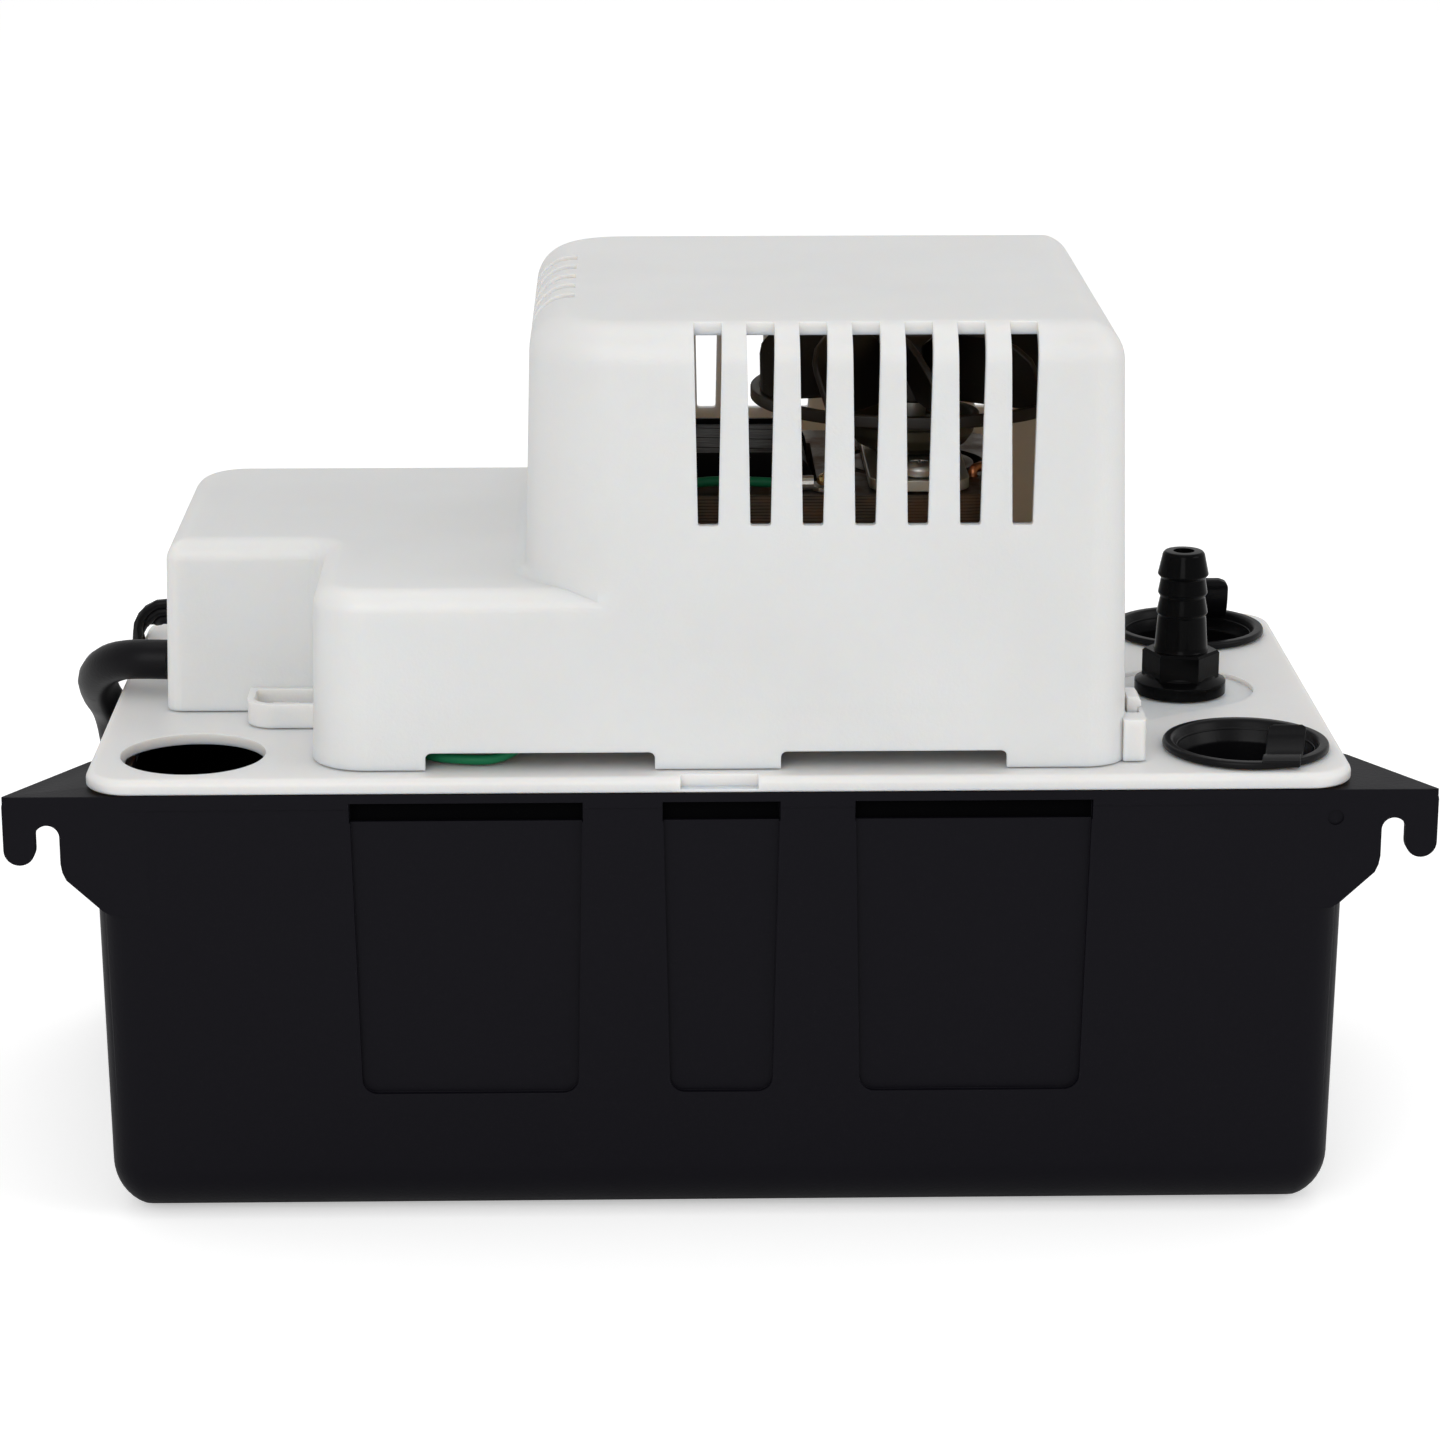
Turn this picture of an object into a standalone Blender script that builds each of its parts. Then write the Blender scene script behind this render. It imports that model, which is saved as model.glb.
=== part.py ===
"""Tank-type condensate pump.

A black tank carries a white deck. On the deck stand a shaded-pole motor, two float switches and a louvred
cover; below it hang the pump, the float and the discharge hose. A barbed check-valve fitting, two loose inlet
plugs, the mains cord and the alarm lead are outside.

Every length is in millimetres in world axes: X along the tank, Y from front to back, Z up from the floor.
mesh_object() turns them into metres.
"""

from math import atan2, cos, hypot, pi, radians, sin, tan

import bmesh
import bpy
from mathutils import Matrix, Vector

MM = 0.001
FIT = 0.3  # gap left between two pieces that touch

# Tank
TANK_LENGTH = 241.9
TANK_FRONT = -62.8
TANK_BACK = 62.2
TANK_HEIGHT = 89.1
TANK_WALL = 2.6
TANK_CORNER = 12.0
TANK_EDGE = 11.0  # radius between floor and sides
TANK_DRAFT = 0.014  # inward lean of the sides, per millimetre below the rim
RIM_WIDTH = 2.3
RIM_HEIGHT = 3.0
EAR_REACH = 18.75  # how far each ear stands out beyond the end wall
EAR_THICK = 3.0
EAR_BOTTOM = TANK_HEIGHT - 24.7
HANGER_SLOT = 5.4  # width of the slot in an ear, for a no. 8 to no. 10 screw
PANEL_DEPTH = 1.2
PANEL_BOTTOM = 26.7
PANEL_TOP = TANK_HEIGHT - 1.8
PANELS = ((-72.6, -27.3), (-11.6, 11.2), (26.0, 72.2))  # X limits of the sunk front panels

# Deck
DECK_HALF_LENGTH = 0.5 * TANK_LENGTH + 2.85
DECK_HALF_WIDTH = 63.5
DECK_CORNER = 13.5
DECK_TOP = TANK_HEIGHT + FIT + 3.0
DECK_THICK = 2.2
DECK_EDGE = 1.5
SKIRT_DEPTH = 6.2
SKIRT_THICK = 1.8
INLET_RADIUS = 14.3  # 1-1/8 in holes
INLET_X = 0.5 * TANK_LENGTH - 16.55
INLETS = ((-INLET_X, -45.0), (INLET_X, -45.0), (INLET_X, 45.0))
PLUG_RIM = 17.2
PLUG_WALL = 1.2
PLUGGED = {"inlet_plug_front": INLETS[1], "inlet_plug_rear": INLETS[2]}

# Motor cover
COVER_WALL = 2.1
COVER_DRAFT = tan(radians(1.5))
COVER_LOW_TOP = DECK_TOP + 35.8
COVER_HIGH_TOP = DECK_TOP + 87.3
COVER_LOW_EDGE = 4.3
COVER_HIGH_EDGE = 7.6
COVER_FILLET = 3.0  # between the tall part's left wall and the low top
COVER_LOW = ((-80.5, -58.4), (79.7, -58.4), (79.7, 58.3), (-112.9, 58.3), (-112.9, -15.0), (-80.5, -15.0))
COVER_LOW_RADII = (7.0, 8.0, 8.0, 12.0, 3.5, 3.0)
COVER_HIGH_LEFT = -39.2  # where the tall part's left wall would meet the deck
COVER_HIGH_RADII = (20.0, 8.0, 8.0, 20.0)
LOUVRE_PITCH = 10.1
LOUVRE_WIDTH = 4.8
LOUVRE_TAPER = 0.8  # how much wider than LOUVRE_WIDTH a slot is at its top, and narrower at its foot
LOUVRE_FOOT = DECK_TOP + 48.6
LOUVRE_DEPTH = 8.0  # how far the slots run in over the top
LOUVRES = 7
LOUVRE_FIRST = -2.65
END_LOUVRES = (-22.0, -11.0, 0.0, 11.0, 22.0)

# Motor
SHAFT = (40.0, 0.0)
SHAFT_RADIUS = 3.0
STACK_BOTTOM = DECK_TOP + 25.6
STACK_TOP = STACK_BOTTOM + 23.0
STACK_LEFT = -7.0
STACK_RIGHT = 57.6
STACK_HALF = 31.0
LEG_WIDTH = 14.0
WINDOW_RIGHT = 20.0
WINDOW_HALF = 18.0
ROTOR_RADIUS = 14.9
COIL_HALF_HEIGHT = 17.2
SHADING_RADIUS = 18.2
SHADING = (("shading_ring_right", -50.0, -34.0), ("shading_ring_left", 130.0, 146.0))
GROUND = (22.5, -26.0)  # the earth screw in the stack
PLATE_THICK = 2.2
PLATE_HALF = 10.0
SCREW_Y = 26.0
SCREW_RADIUS = 1.7
BEARING_RADIUS = 14.0
BEARING_HEIGHT = 7.6
FAN_RADIUS = 33.0
FAN_BOTTOM = STACK_TOP + 13.6
FAN_TOP = FAN_BOTTOM + 17.4
FAN_BLADES = 8

# Pump
IMPELLER_RADIUS = 17.0
IMPELLER_BOTTOM = 12.0
VOLUTE_RADIUS = 26.0
VOLUTE_BOTTOM = 8.5
VOLUTE_TOP = 26.0
OUTLET_Y = -18.0
OUTLET_Z = 16.0
COLUMN_RADIUS = 11.0
HOSE_BARB = 3.6
HOSE_WALL = 1.8

# Discharge fitting
FITTING = (97.0, 0.0)
FITTING_TOP = DECK_TOP + 29.9
SHANK_RADIUS = 6.3
HEX_RADIUS = 8.0  # over the corners, for a 9/16 in wrench
CHECK_FOOT = DECK_TOP - 20.0  # where the check seat's flange meets the shank
CHAMBER = 4.2
CHECK_TRAVEL = 3.0

# Float and switches
PIVOT_X = -70.0
PIVOT_Z = DECK_TOP - 9.4
PIN_RADIUS = 1.5
FLOAT_BOX = (-49.0, -7.0, 0.0, 40.0, PIVOT_Z - 45.0, PIVOT_Z - 25.0)
FINGER_Y = 28.0
FINGER_TOP = DECK_TOP + 19.6
LUG_FRONT = 6.0
LUG_REAR = 34.0
SWITCH_BOX = (-104.0, -88.0, 6.0, 34.0, DECK_TOP + 2.6, DECK_TOP + 12.9)
SWITCH_GAP = 0.7
LEVER_PIVOT = (-87.5, 8.0)
BUTTON_Y = 13.0
SWITCH_SCREWS = ((-96.0, 10.5), (-96.0, 29.5))

# Cords
CORD_DIAMETER = 7.6
CORD_Z = DECK_TOP + 7.2
CORD_SEAT = 0.2  # gap round the cord in its strain relief
RELIEF_WALL = 0.9  # the relief's wall where it passes through the cover
LEAD_DIAMETER = 3.0
COIL_CENTRE = (-50.0, 128.0)
COIL_RADIUS = 44.0
PLUG_Y = 106.0


# ---------------------------------------------------------------- shapes

def clear_scene():
    for item in list(bpy.data.objects):
        bpy.data.objects.remove(item, do_unlink=True)


def material(name, colour, roughness, metallic=0.0):
    """A Principled material; one that exists already is shared."""
    made = bpy.data.materials.get(name)
    if made:
        return made
    made = bpy.data.materials.new(name)
    made.use_nodes = True
    made.diffuse_color = (*colour, 1.0)
    shader = made.node_tree.nodes["Principled BSDF"]
    shader.inputs["Base Color"].default_value = (*colour, 1.0)
    shader.inputs["Roughness"].default_value = roughness
    shader.inputs["Metallic"].default_value = metallic
    return made


def mesh_object(name, points, faces, surface=None, smooth=False):
    """A closed mesh from millimetre points, its faces turned outward."""
    mesh = bpy.data.meshes.new(name)
    mesh.from_pydata([Vector(point) * MM for point in points], [], faces)
    work = bmesh.new()
    work.from_mesh(mesh)
    bmesh.ops.recalc_face_normals(work, faces=work.faces)
    work.to_mesh(mesh)
    work.free()
    if smooth:
        mesh.shade_smooth()
        mesh.set_sharp_from_angle(angle=radians(32))
    made = bpy.data.objects.new(name, mesh)
    bpy.context.scene.collection.objects.link(made)
    if surface:
        mesh.materials.append(surface)
    return made


def lofted(name, rings, surface=None, smooth=True):
    """A solid skinned over rings that all have the same number of points."""
    count = len(rings[0])
    points = [point for ring in rings for point in ring]
    faces = [list(range(count)), [len(points) - 1 - i for i in range(count)]]
    for level in range(len(rings) - 1):
        for i in range(count):
            j = (i + 1) % count
            low = level * count
            faces.append((low + i, low + j, low + count + j, low + count + i))
    return mesh_object(name, points, faces, surface, smooth)


def turned(name, profile, centre, surface=None, bored=False, steps=20):
    """A profile of (radius, height) pairs spun round a vertical axis. A bored profile is a closed loop."""
    work = bmesh.new()
    corners = [work.verts.new((radius * MM, 0.0, height * MM)) for radius, height in profile]
    pairs = list(zip(corners, corners[1:]))
    if bored:
        pairs.append((corners[-1], corners[0]))
    edges = [work.edges.new(pair) for pair in pairs]
    bmesh.ops.spin(work, geom=corners + edges, cent=(0, 0, 0), axis=(0, 0, 1), angle=2 * pi, steps=steps)
    bmesh.ops.remove_doubles(work, verts=work.verts, dist=1e-6)
    bmesh.ops.recalc_face_normals(work, faces=work.faces)
    mesh = bpy.data.meshes.new(name)
    work.to_mesh(mesh)
    work.free()
    mesh.shade_smooth()
    mesh.set_sharp_from_angle(angle=radians(32))
    mesh.transform(Matrix.Translation((centre[0] * MM, centre[1] * MM, 0.0)))
    if surface:
        mesh.materials.append(surface)
    made = bpy.data.objects.new(name, mesh)
    bpy.context.scene.collection.objects.link(made)
    return made


def prism(name, outline, plane, start, end, surface=None, smooth=False):
    """A flat outline pushed from start to end along the axis that its plane leaves out."""
    place = {
        "XY": lambda a, b, depth: (a, b, depth),
        "XZ": lambda a, b, depth: (a, depth, b),
        "YZ": lambda a, b, depth: (depth, a, b),
    }[plane]
    rings = [[place(a, b, depth) for a, b in outline] for depth in (start, end)]
    return lofted(name, rings, surface, smooth)


def block(name, x0, x1, y0, y1, z0, z1, surface=None):
    return prism(name, rectangle(x0, x1, y0, y1), "XY", z0, z1, surface)


def rod(name, plane, centre, radius, start, end, surface=None, steps=14):
    """A straight round bar whose section lies in the given plane."""
    outline = [
        (centre[0] + radius * cos(2 * pi * i / steps), centre[1] + radius * sin(2 * pi * i / steps))
        for i in range(steps)
    ]
    return prism(name, outline, plane, start, end, surface, smooth=True)


def rectangle(x0, x1, y0, y1):
    return [(x0, y0), (x1, y0), (x1, y1), (x0, y1)]


def rounded(corners, radii, inset=0.0, arc=4):
    """An outline of right-angled corners, moved inward by inset, each corner drawn as an arc."""
    points = []
    for i, corner in enumerate(corners):
        here = Vector(corner)
        before = (here - Vector(corners[i - 1])).normalized()
        after = (Vector(corners[(i + 1) % len(corners)]) - here).normalized()
        turn = before.x * after.y - before.y * after.x  # +1 outward corner, -1 inward corner
        radius = max(radii[i] - turn * inset, 0.4)
        here = here + inset * Vector((-before.y - after.y, before.x + after.x))
        middle = here - before * radius + after * radius
        for step in range(arc + 1):
            angle = 0.5 * pi * step / arc
            point = middle - after * radius * cos(angle) + before * radius * sin(angle)
            points.append((point.x, point.y))
    return points


def at_height(outline, z):
    return [(x, y, z) for x, y in outline]


def boolean(body, tool, operation):
    tool.hide_render = True
    tool.display_type = "WIRE"
    step = body.modifiers.new(f"{operation.lower()}_{tool.name}", "BOOLEAN")
    step.operation = operation
    step.solver = "EXACT"
    step.object = tool


def join(body, *tools):
    for tool in tools:
        boolean(body, tool, "UNION")


def cut(body, *tools):
    for tool in tools:
        boolean(body, tool, "DIFFERENCE")


def smooth_route(stops, spacing):
    """Points every spacing along a Catmull-Rom curve through the stops."""
    stops = [Vector(stop) for stop in stops]
    stops = [2 * stops[0] - stops[1]] + stops + [2 * stops[-1] - stops[-2]]
    fine = []
    for a, b, c, d in zip(stops, stops[1:], stops[2:], stops[3:]):
        for step in range(24):
            t = step / 24
            fine.append(
                0.5 * (
                    2 * b + (c - a) * t + (2 * a - 5 * b + 4 * c - d) * t**2 + (3 * b - a - 3 * c + d) * t**3
                )
            )
    fine.append(stops[-2])
    walked = [0.0]
    for here, there in zip(fine, fine[1:]):
        walked.append(walked[-1] + (there - here).length)
    count = max(2, round(walked[-1] / spacing))
    route = []
    index = 0
    for i in range(count):
        target = walked[-1] * i / count
        while walked[index + 1] < target:
            index += 1
        share = (target - walked[index]) / (walked[index + 1] - walked[index])
        route.append(fine[index].lerp(fine[index + 1], share))
    return route + [fine[-1]]


def tube(name, route, diameter, surface, resolution):
    """A round bar along a route: a poly curve with a round bevel and filled ends."""
    curve = bpy.data.curves.new(name, "CURVE")
    curve.dimensions = "3D"
    curve.bevel_depth = 0.5 * diameter * MM
    curve.bevel_resolution = resolution
    curve.use_fill_caps = True
    spline = curve.splines.new("POLY")
    spline.points.add(len(route) - 1)
    for point, place in zip(spline.points, route):
        point.co = (*(place * MM), 1.0)
    curve.materials.append(surface)
    made = bpy.data.objects.new(name, curve)
    bpy.context.scene.collection.objects.link(made)
    return made


def cord(name, stops, diameter, surface, spacing):
    return tube(name, smooth_route(stops, spacing), diameter, surface, resolution=3 if diameter > 4 else 2)


def hollow_hose(name, stops, outer, inner, surface, steps=10):
    """A hose with an open bore: rings of the outside along the route, then rings of the bore back."""
    route = smooth_route(stops, 7.0)
    sections = []
    side = Vector((0, 1, 0))
    for i, place in enumerate(route):
        ahead = (route[min(i + 1, len(route) - 1)] - route[max(i - 1, 0)]).normalized()
        side = (side - side.dot(ahead) * ahead).normalized()
        sections.append((place, side, ahead.cross(side)))
    rings = []
    for radius, order in ((outer, sections), (inner, reversed(sections))):
        for place, u, v in order:
            rings.append([
                place + radius * (cos(2 * pi * i / steps) * u + sin(2 * pi * i / steps) * v)
                for i in range(steps)
            ])
    points = [point for ring in rings for point in ring]
    faces = []
    for level in range(len(rings)):
        low = level * steps
        high = (level + 1) % len(rings) * steps
        for i in range(steps):
            j = (i + 1) % steps
            faces.append((low + i, low + j, high + j, high + i))
    return mesh_object(name, points, faces, surface, smooth=True)


def put_origin(item, place):
    """Moves the object's origin to place, leaving its shape where it is."""
    shift = Vector(place) * MM
    item.data.transform(Matrix.Translation(-shift))
    item.location = shift


# ---------------------------------------------------------------- finishes

BLACK_PLASTIC = ("black_plastic", (0.010, 0.011, 0.012), 0.45)
WHITE_PLASTIC = ("white_plastic", (0.62, 0.62, 0.60), 0.42)
FINISHES = {
    "tank": BLACK_PLASTIC,
    "deck": ("deck_white", (0.60, 0.60, 0.58), 0.45),
    "cover": WHITE_PLASTIC,
    "plug": ("plug_black", (0.012, 0.012, 0.013), 0.55),
    "fitting": ("nylon_black", (0.014, 0.014, 0.015), 0.38),
    "white": ("acetal_white", (0.66, 0.65, 0.62), 0.40),
    "float": ("float_grey", (0.30, 0.30, 0.30), 0.70),
    "steel": ("zinc_steel", (0.55, 0.55, 0.54), 0.32, 1.0),
    "laminations": ("stack_steel", (0.28, 0.27, 0.26), 0.50, 1.0),
    "sintered": ("bearing_zinc", (0.42, 0.41, 0.38), 0.45, 1.0),
    "copper": ("copper", (0.62, 0.28, 0.15), 0.35, 1.0),
    "brass": ("brass", (0.70, 0.52, 0.24), 0.30, 1.0),
    "tape": ("coil_tape", (0.020, 0.019, 0.018), 0.55),
    "fan": ("fan_brown", (0.060, 0.040, 0.026), 0.50),
    "rubber": ("rubber", (0.015, 0.015, 0.015), 0.75),
    "hose": ("vinyl_hose", (0.40, 0.42, 0.40), 0.35),
    "switch": ("switch_black", (0.018, 0.018, 0.020), 0.50),
    "button": ("button_red", (0.35, 0.03, 0.02), 0.40),
    "cord": ("cord_black", (0.012, 0.012, 0.013), 0.50),
    "lead": ("lead_black", (0.016, 0.016, 0.017), 0.50),
    "green": ("wire_green", (0.02, 0.22, 0.07), 0.42),
    "white_wire": ("wire_white", (0.60, 0.59, 0.55), 0.42),
}


def finish(kind):
    return material(*FINISHES[kind])


# ---------------------------------------------------------------- tank and deck

TANK_BOX = rectangle(-0.5 * TANK_LENGTH, 0.5 * TANK_LENGTH, TANK_FRONT, TANK_BACK)


def tank_inset(z):
    return TANK_DRAFT * (TANK_HEIGHT - z)


def tub(name, wall, floor, top):
    """The tank's outside (no wall) or its cavity, from the rounded bottom edge up to top."""
    edge = TANK_EDGE - wall
    rings = []
    for step in range(5):
        turn = 0.5 * pi * step / 4
        z = floor + edge * (1 - cos(turn))
        inset = wall + tank_inset(z) + edge * (1 - sin(turn))
        rings.append(at_height(rounded(TANK_BOX, [TANK_CORNER] * 4, inset), z))
    rings.append(at_height(rounded(TANK_BOX, [TANK_CORNER] * 4, wall + tank_inset(top)), top))
    return lofted(name, rings)


def ear_plate(name, side):
    """A hanging ear: a flat hook whose slot opens downward, drawn for the right end, mirrored for the left."""
    end = 0.5 * TANK_LENGTH
    tip = end + EAR_REACH
    slot_in = end + 7.2
    slot_out = slot_in + HANGER_SLOT
    top = TANK_HEIGHT - 0.15
    outline = [(end - 12.95, top), (tip - 2.0, top), (tip - 0.6, top - 0.6), (tip, top - 2.0)]
    outline += [(tip - 0.1, top - 11.7), (tip - 1.2, top - 13.4), (tip - 2.8, top - 13.8)]
    outline += [(tip - 4.6, top - 13.2), (slot_out + 0.2, top - 11.6)]
    for step in range(9):
        angle = pi * step / 8
        middle = 0.5 * (slot_in + slot_out)
        outline.append((middle + 0.5 * HANGER_SLOT * cos(angle), top - 8.5 + 0.5 * HANGER_SLOT * sin(angle)))
    outline += [(slot_in - 0.5, top - 16.5), (slot_in - 1.3, top - 17.8), (end - 0.8, EAR_BOTTOM + 0.1)]
    outline += [(end - 2.2, EAR_BOTTOM), (end - 12.95, EAR_BOTTOM)]
    outline = [(side * x, z) for x, z in outline]
    return prism(name, outline, "XZ", TANK_FRONT - 0.1, TANK_FRONT - 0.1 + EAR_THICK)


def make_tank():
    tank = tub("tank", 0.0, 0.0, TANK_HEIGHT - 1.0)
    tank.data.materials.append(finish("tank"))
    rim_box = rectangle(
        -0.5 * TANK_LENGTH - RIM_WIDTH, 0.5 * TANK_LENGTH + RIM_WIDTH, TANK_FRONT - 0.15, TANK_BACK + 1.0
    )
    rim = rounded(rim_box, [TANK_CORNER + 1] * 4)
    join(tank, prism("tank_rim", rim, "XY", TANK_HEIGHT - RIM_HEIGHT, TANK_HEIGHT))
    for name, side in (("tank_ear_left", -1), ("tank_ear_right", 1)):
        end = side * 0.5 * TANK_LENGTH
        tip = end + side * EAR_REACH
        web = [(end - side * 4, TANK_FRONT + 0.2), (tip - side * 0.1, TANK_FRONT + 0.2)]
        web += [(tip - side * 0.1, TANK_FRONT + 0.6), (end + side * 5.0, -38.8), (end + side * 1.0, -34.6)]
        web.append((end - side * 4, -34.6))
        web_solid = prism(f"{name}_web", web, "XY", TANK_HEIGHT - 2.3, TANK_HEIGHT - 0.1)
        join(tank, ear_plate(name, side), web_solid)
    cut(tank, tub("tank_cavity", TANK_WALL, TANK_WALL, TANK_HEIGHT + 5))
    for i, (left, right) in enumerate(PANELS):
        rings = []
        for z, inset in ((PANEL_BOTTOM, 1.3), (PANEL_TOP, 0.0)):
            face = TANK_FRONT + tank_inset(z) + PANEL_DEPTH
            rings.append(at_height(rectangle(left + inset, right - inset, TANK_FRONT - 8, face), z))
        cut(tank, lofted(f"tank_panel_{i}", rings, smooth=False))
    spot = (0.5 * TANK_LENGTH - 1.0, TANK_HEIGHT - 5.8)
    cut(tank, rod("tank_dimple", "XZ", spot, 1.6, TANK_FRONT - 5, TANK_FRONT + 0.6))
    return tank


def plate_rings(half_x, half_y, corner, z0, z1, edge):
    """Rings of a flat plate whose upper edge is rounded."""
    box = rectangle(-half_x, half_x, -half_y, half_y)
    rings = [at_height(rounded(box, [corner] * 4), z0)]
    for step in range(4):
        turn = 0.5 * pi * step / 3
        inset = edge * (1 - cos(turn))
        rings.append(at_height(rounded(box, [corner] * 4, inset), z1 - edge + edge * sin(turn)))
    return rings


def make_deck():
    lip = TANK_HEIGHT + FIT
    under = DECK_TOP - DECK_THICK
    skirt_out = TANK_WALL + FIT
    rings = []
    for inset, z in (
        (skirt_out + SKIRT_THICK, under), (skirt_out + SKIRT_THICK, under - SKIRT_DEPTH),
        (skirt_out, under - SKIRT_DEPTH), (skirt_out, lip),
    ):
        rings.append(at_height(rounded(TANK_BOX, [TANK_CORNER] * 4, inset), z))
    rings += plate_rings(DECK_HALF_LENGTH, DECK_HALF_WIDTH, DECK_CORNER, lip, DECK_TOP, DECK_EDGE)
    deck = lofted("deck", rings, finish("deck"))

    low = DECK_TOP - 0.9  # posts start inside the plate
    posts = []
    for name, side in (("front", -1), ("rear", 1)):
        centre = (SHAFT[0], side * SCREW_Y)
        posts.append(
            rod(f"motor_post_{name}", "XY", centre, 4.6, low, STACK_BOTTOM - 2 * FIT - PLATE_THICK - FIT)
        )
        posts.append(rod(f"wire_post_{name}", "XY", (-34.0, -4.0 + 8 * side), 1.9, low, DECK_TOP + 14))
    for i, (x, y) in enumerate(SWITCH_SCREWS):
        posts.append(block(f"switch_pad_{i}", x - 6, x + 6, y - 3, y + 3, low, SWITCH_BOX[4] - FIT))
    for name, y0, y1 in (("front", LUG_FRONT - 2.8, LUG_FRONT - FIT), ("rear", LUG_REAR + FIT, LUG_REAR + 2.8)):
        outline = [(PIVOT_X - 5, under + 0.6), (PIVOT_X - 4, PIVOT_Z - 3), (PIVOT_X - 2, PIVOT_Z - 5)]
        outline += [(PIVOT_X + 2, PIVOT_Z - 5), (PIVOT_X + 4, PIVOT_Z - 3), (PIVOT_X + 5, under + 0.6)]
        lug = prism(f"float_lug_{name}", outline, "XZ", y0, y1)
        posts.append(lug)
    finger = [(80.7, -0.9), (82.9, -0.9), (82.9, 7.2), (84.7, 7.5), (84.9, 9.0), (84.0, 11.5), (82.4, 12.5)]
    finger += [(81.3, 12.1), (80.7, 10.8)]
    finger = [(x, DECK_TOP + rise) for x, rise in finger]
    posts.append(prism("latch_finger_right", finger, "XZ", -47.6, -40.4))
    posts.append(block("latch_finger_left", -90.2, -85.0, -25.8, -24.0, low, DECK_TOP + 4.6))
    join(deck, *posts)

    for i, (x, y) in enumerate(INLETS):
        cut(deck, rod(f"inlet_hole_{i}", "XY", (x, y), INLET_RADIUS, DECK_TOP - 12, DECK_TOP + 3, steps=20))
        cut(deck, rod(f"inlet_skirt_gap_{i}", "XY", (x, y), INLET_RADIUS + 1.2, DECK_TOP - 12, under, steps=20))
    cut(
        deck,
        block("deck_notch", -8.2, 10.8, -DECK_HALF_WIDTH - 4, -DECK_HALF_WIDTH + 2.3, lip + 0.6, DECK_TOP + 4)
    )
    recess = []
    for step in range(13):
        angle = atan2(-9.7, -15.7) - 0.5 * pi + pi * step / 12
        recess.append((76.6 + 15.3 * cos(angle), -12.6 + 15.3 * sin(angle)))
    for step in range(13):
        angle = atan2(-9.7, -15.7) + 0.5 * pi + pi * step / 12
        recess.append((FITTING[0] + 15.3 * cos(angle), FITTING[1] + 15.3 * sin(angle)))
    recess.reverse()
    cut(deck, prism("fitting_recess", recess, "XY", DECK_TOP - 1.0, DECK_TOP + 0.5))
    cut(deck, rod("fitting_hole", "XY", FITTING, SHANK_RADIUS + FIT, DECK_TOP - 8, DECK_TOP + 3))
    cut(deck, rod("shaft_hole", "XY", SHAFT, 5.5, DECK_TOP - 8, DECK_TOP + 3))
    slot_box = (PIVOT_X - 9.4, PIVOT_X + 1.0, FINGER_Y - 2.8, FINGER_Y + 2.8)
    cut(deck, block("float_finger_slot", *slot_box, DECK_TOP - 7.4, DECK_TOP + 3.6))
    pin_bore = rod("float_pin_bore", "XZ", (PIVOT_X, PIVOT_Z), PIN_RADIUS + FIT, LUG_FRONT - 8, LUG_REAR + 8)
    cut(deck, pin_bore)
    for name, side in (("front", -1), ("rear", 1)):
        centre = (SHAFT[0], side * SCREW_Y)
        bore = SCREW_RADIUS + FIT
        cut(deck, rod(f"motor_post_bore_{name}", "XY", centre, bore, STACK_BOTTOM - 20, STACK_BOTTOM + 2))
    for i, centre in enumerate(SWITCH_SCREWS):
        cut(deck, rod(f"switch_pad_bore_{i}", "XY", centre, 1.2 + FIT, DECK_TOP - 12.4, DECK_TOP + 7.6))
    for name, side in (("left", -1), ("right", 1)):
        centre = (SHAFT[0] + side * 15.0, 0.0)
        cut(deck, rod(f"column_screw_hole_{name}", "XY", centre, 1.5 + FIT, DECK_TOP - 12.4, DECK_TOP + 7.6))
    return deck


# ---------------------------------------------------------------- motor cover

def cover_bottom():
    return DECK_TOP + FIT


def low_cover(name, wall, bottom, grow=0.0):
    """The low L-shaped body of the cover, or its hollow when wall is given."""
    top = COVER_LOW_TOP - wall
    edge = COVER_LOW_EDGE - 0.5 * wall
    rings = []
    for z in (bottom, top - edge):
        inset = wall - grow + COVER_DRAFT * (z - cover_bottom())
        rings.append(at_height(rounded(COVER_LOW, COVER_LOW_RADII, inset), z))
    for step in range(1, 5):
        turn = 0.5 * pi * step / 4
        z = top - edge + edge * sin(turn)
        inset = wall - grow + COVER_DRAFT * (z - cover_bottom()) + edge * (1 - cos(turn))
        rings.append(at_height(rounded(COVER_LOW, COVER_LOW_RADII, inset), z))
    return lofted(name, rings)


def high_ring(z, wall, inset):
    """One ring of the tall body; its left side flares out to meet the low top in a hollow fillet."""
    lean = COVER_DRAFT * (z - cover_bottom())
    flare = 0.0
    rise = z - (COVER_LOW_TOP - wall)
    hollow = COVER_FILLET + wall
    if rise < hollow:
        reach = hollow - max(rise, 0.0)
        flare = hollow - (hollow**2 - reach**2) ** 0.5
    front = COVER_LOW[0][1] - 0.04
    back = COVER_LOW[2][1] + 0.04
    box = rectangle(COVER_HIGH_LEFT - flare, COVER_LOW[1][0] + 0.04, front, back)
    radii = [COVER_HIGH_RADII[0] + flare, COVER_HIGH_RADII[1], COVER_HIGH_RADII[2], COVER_HIGH_RADII[3] + flare]
    return at_height(rounded(box, radii, wall + lean + inset, arc=5), z)


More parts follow.
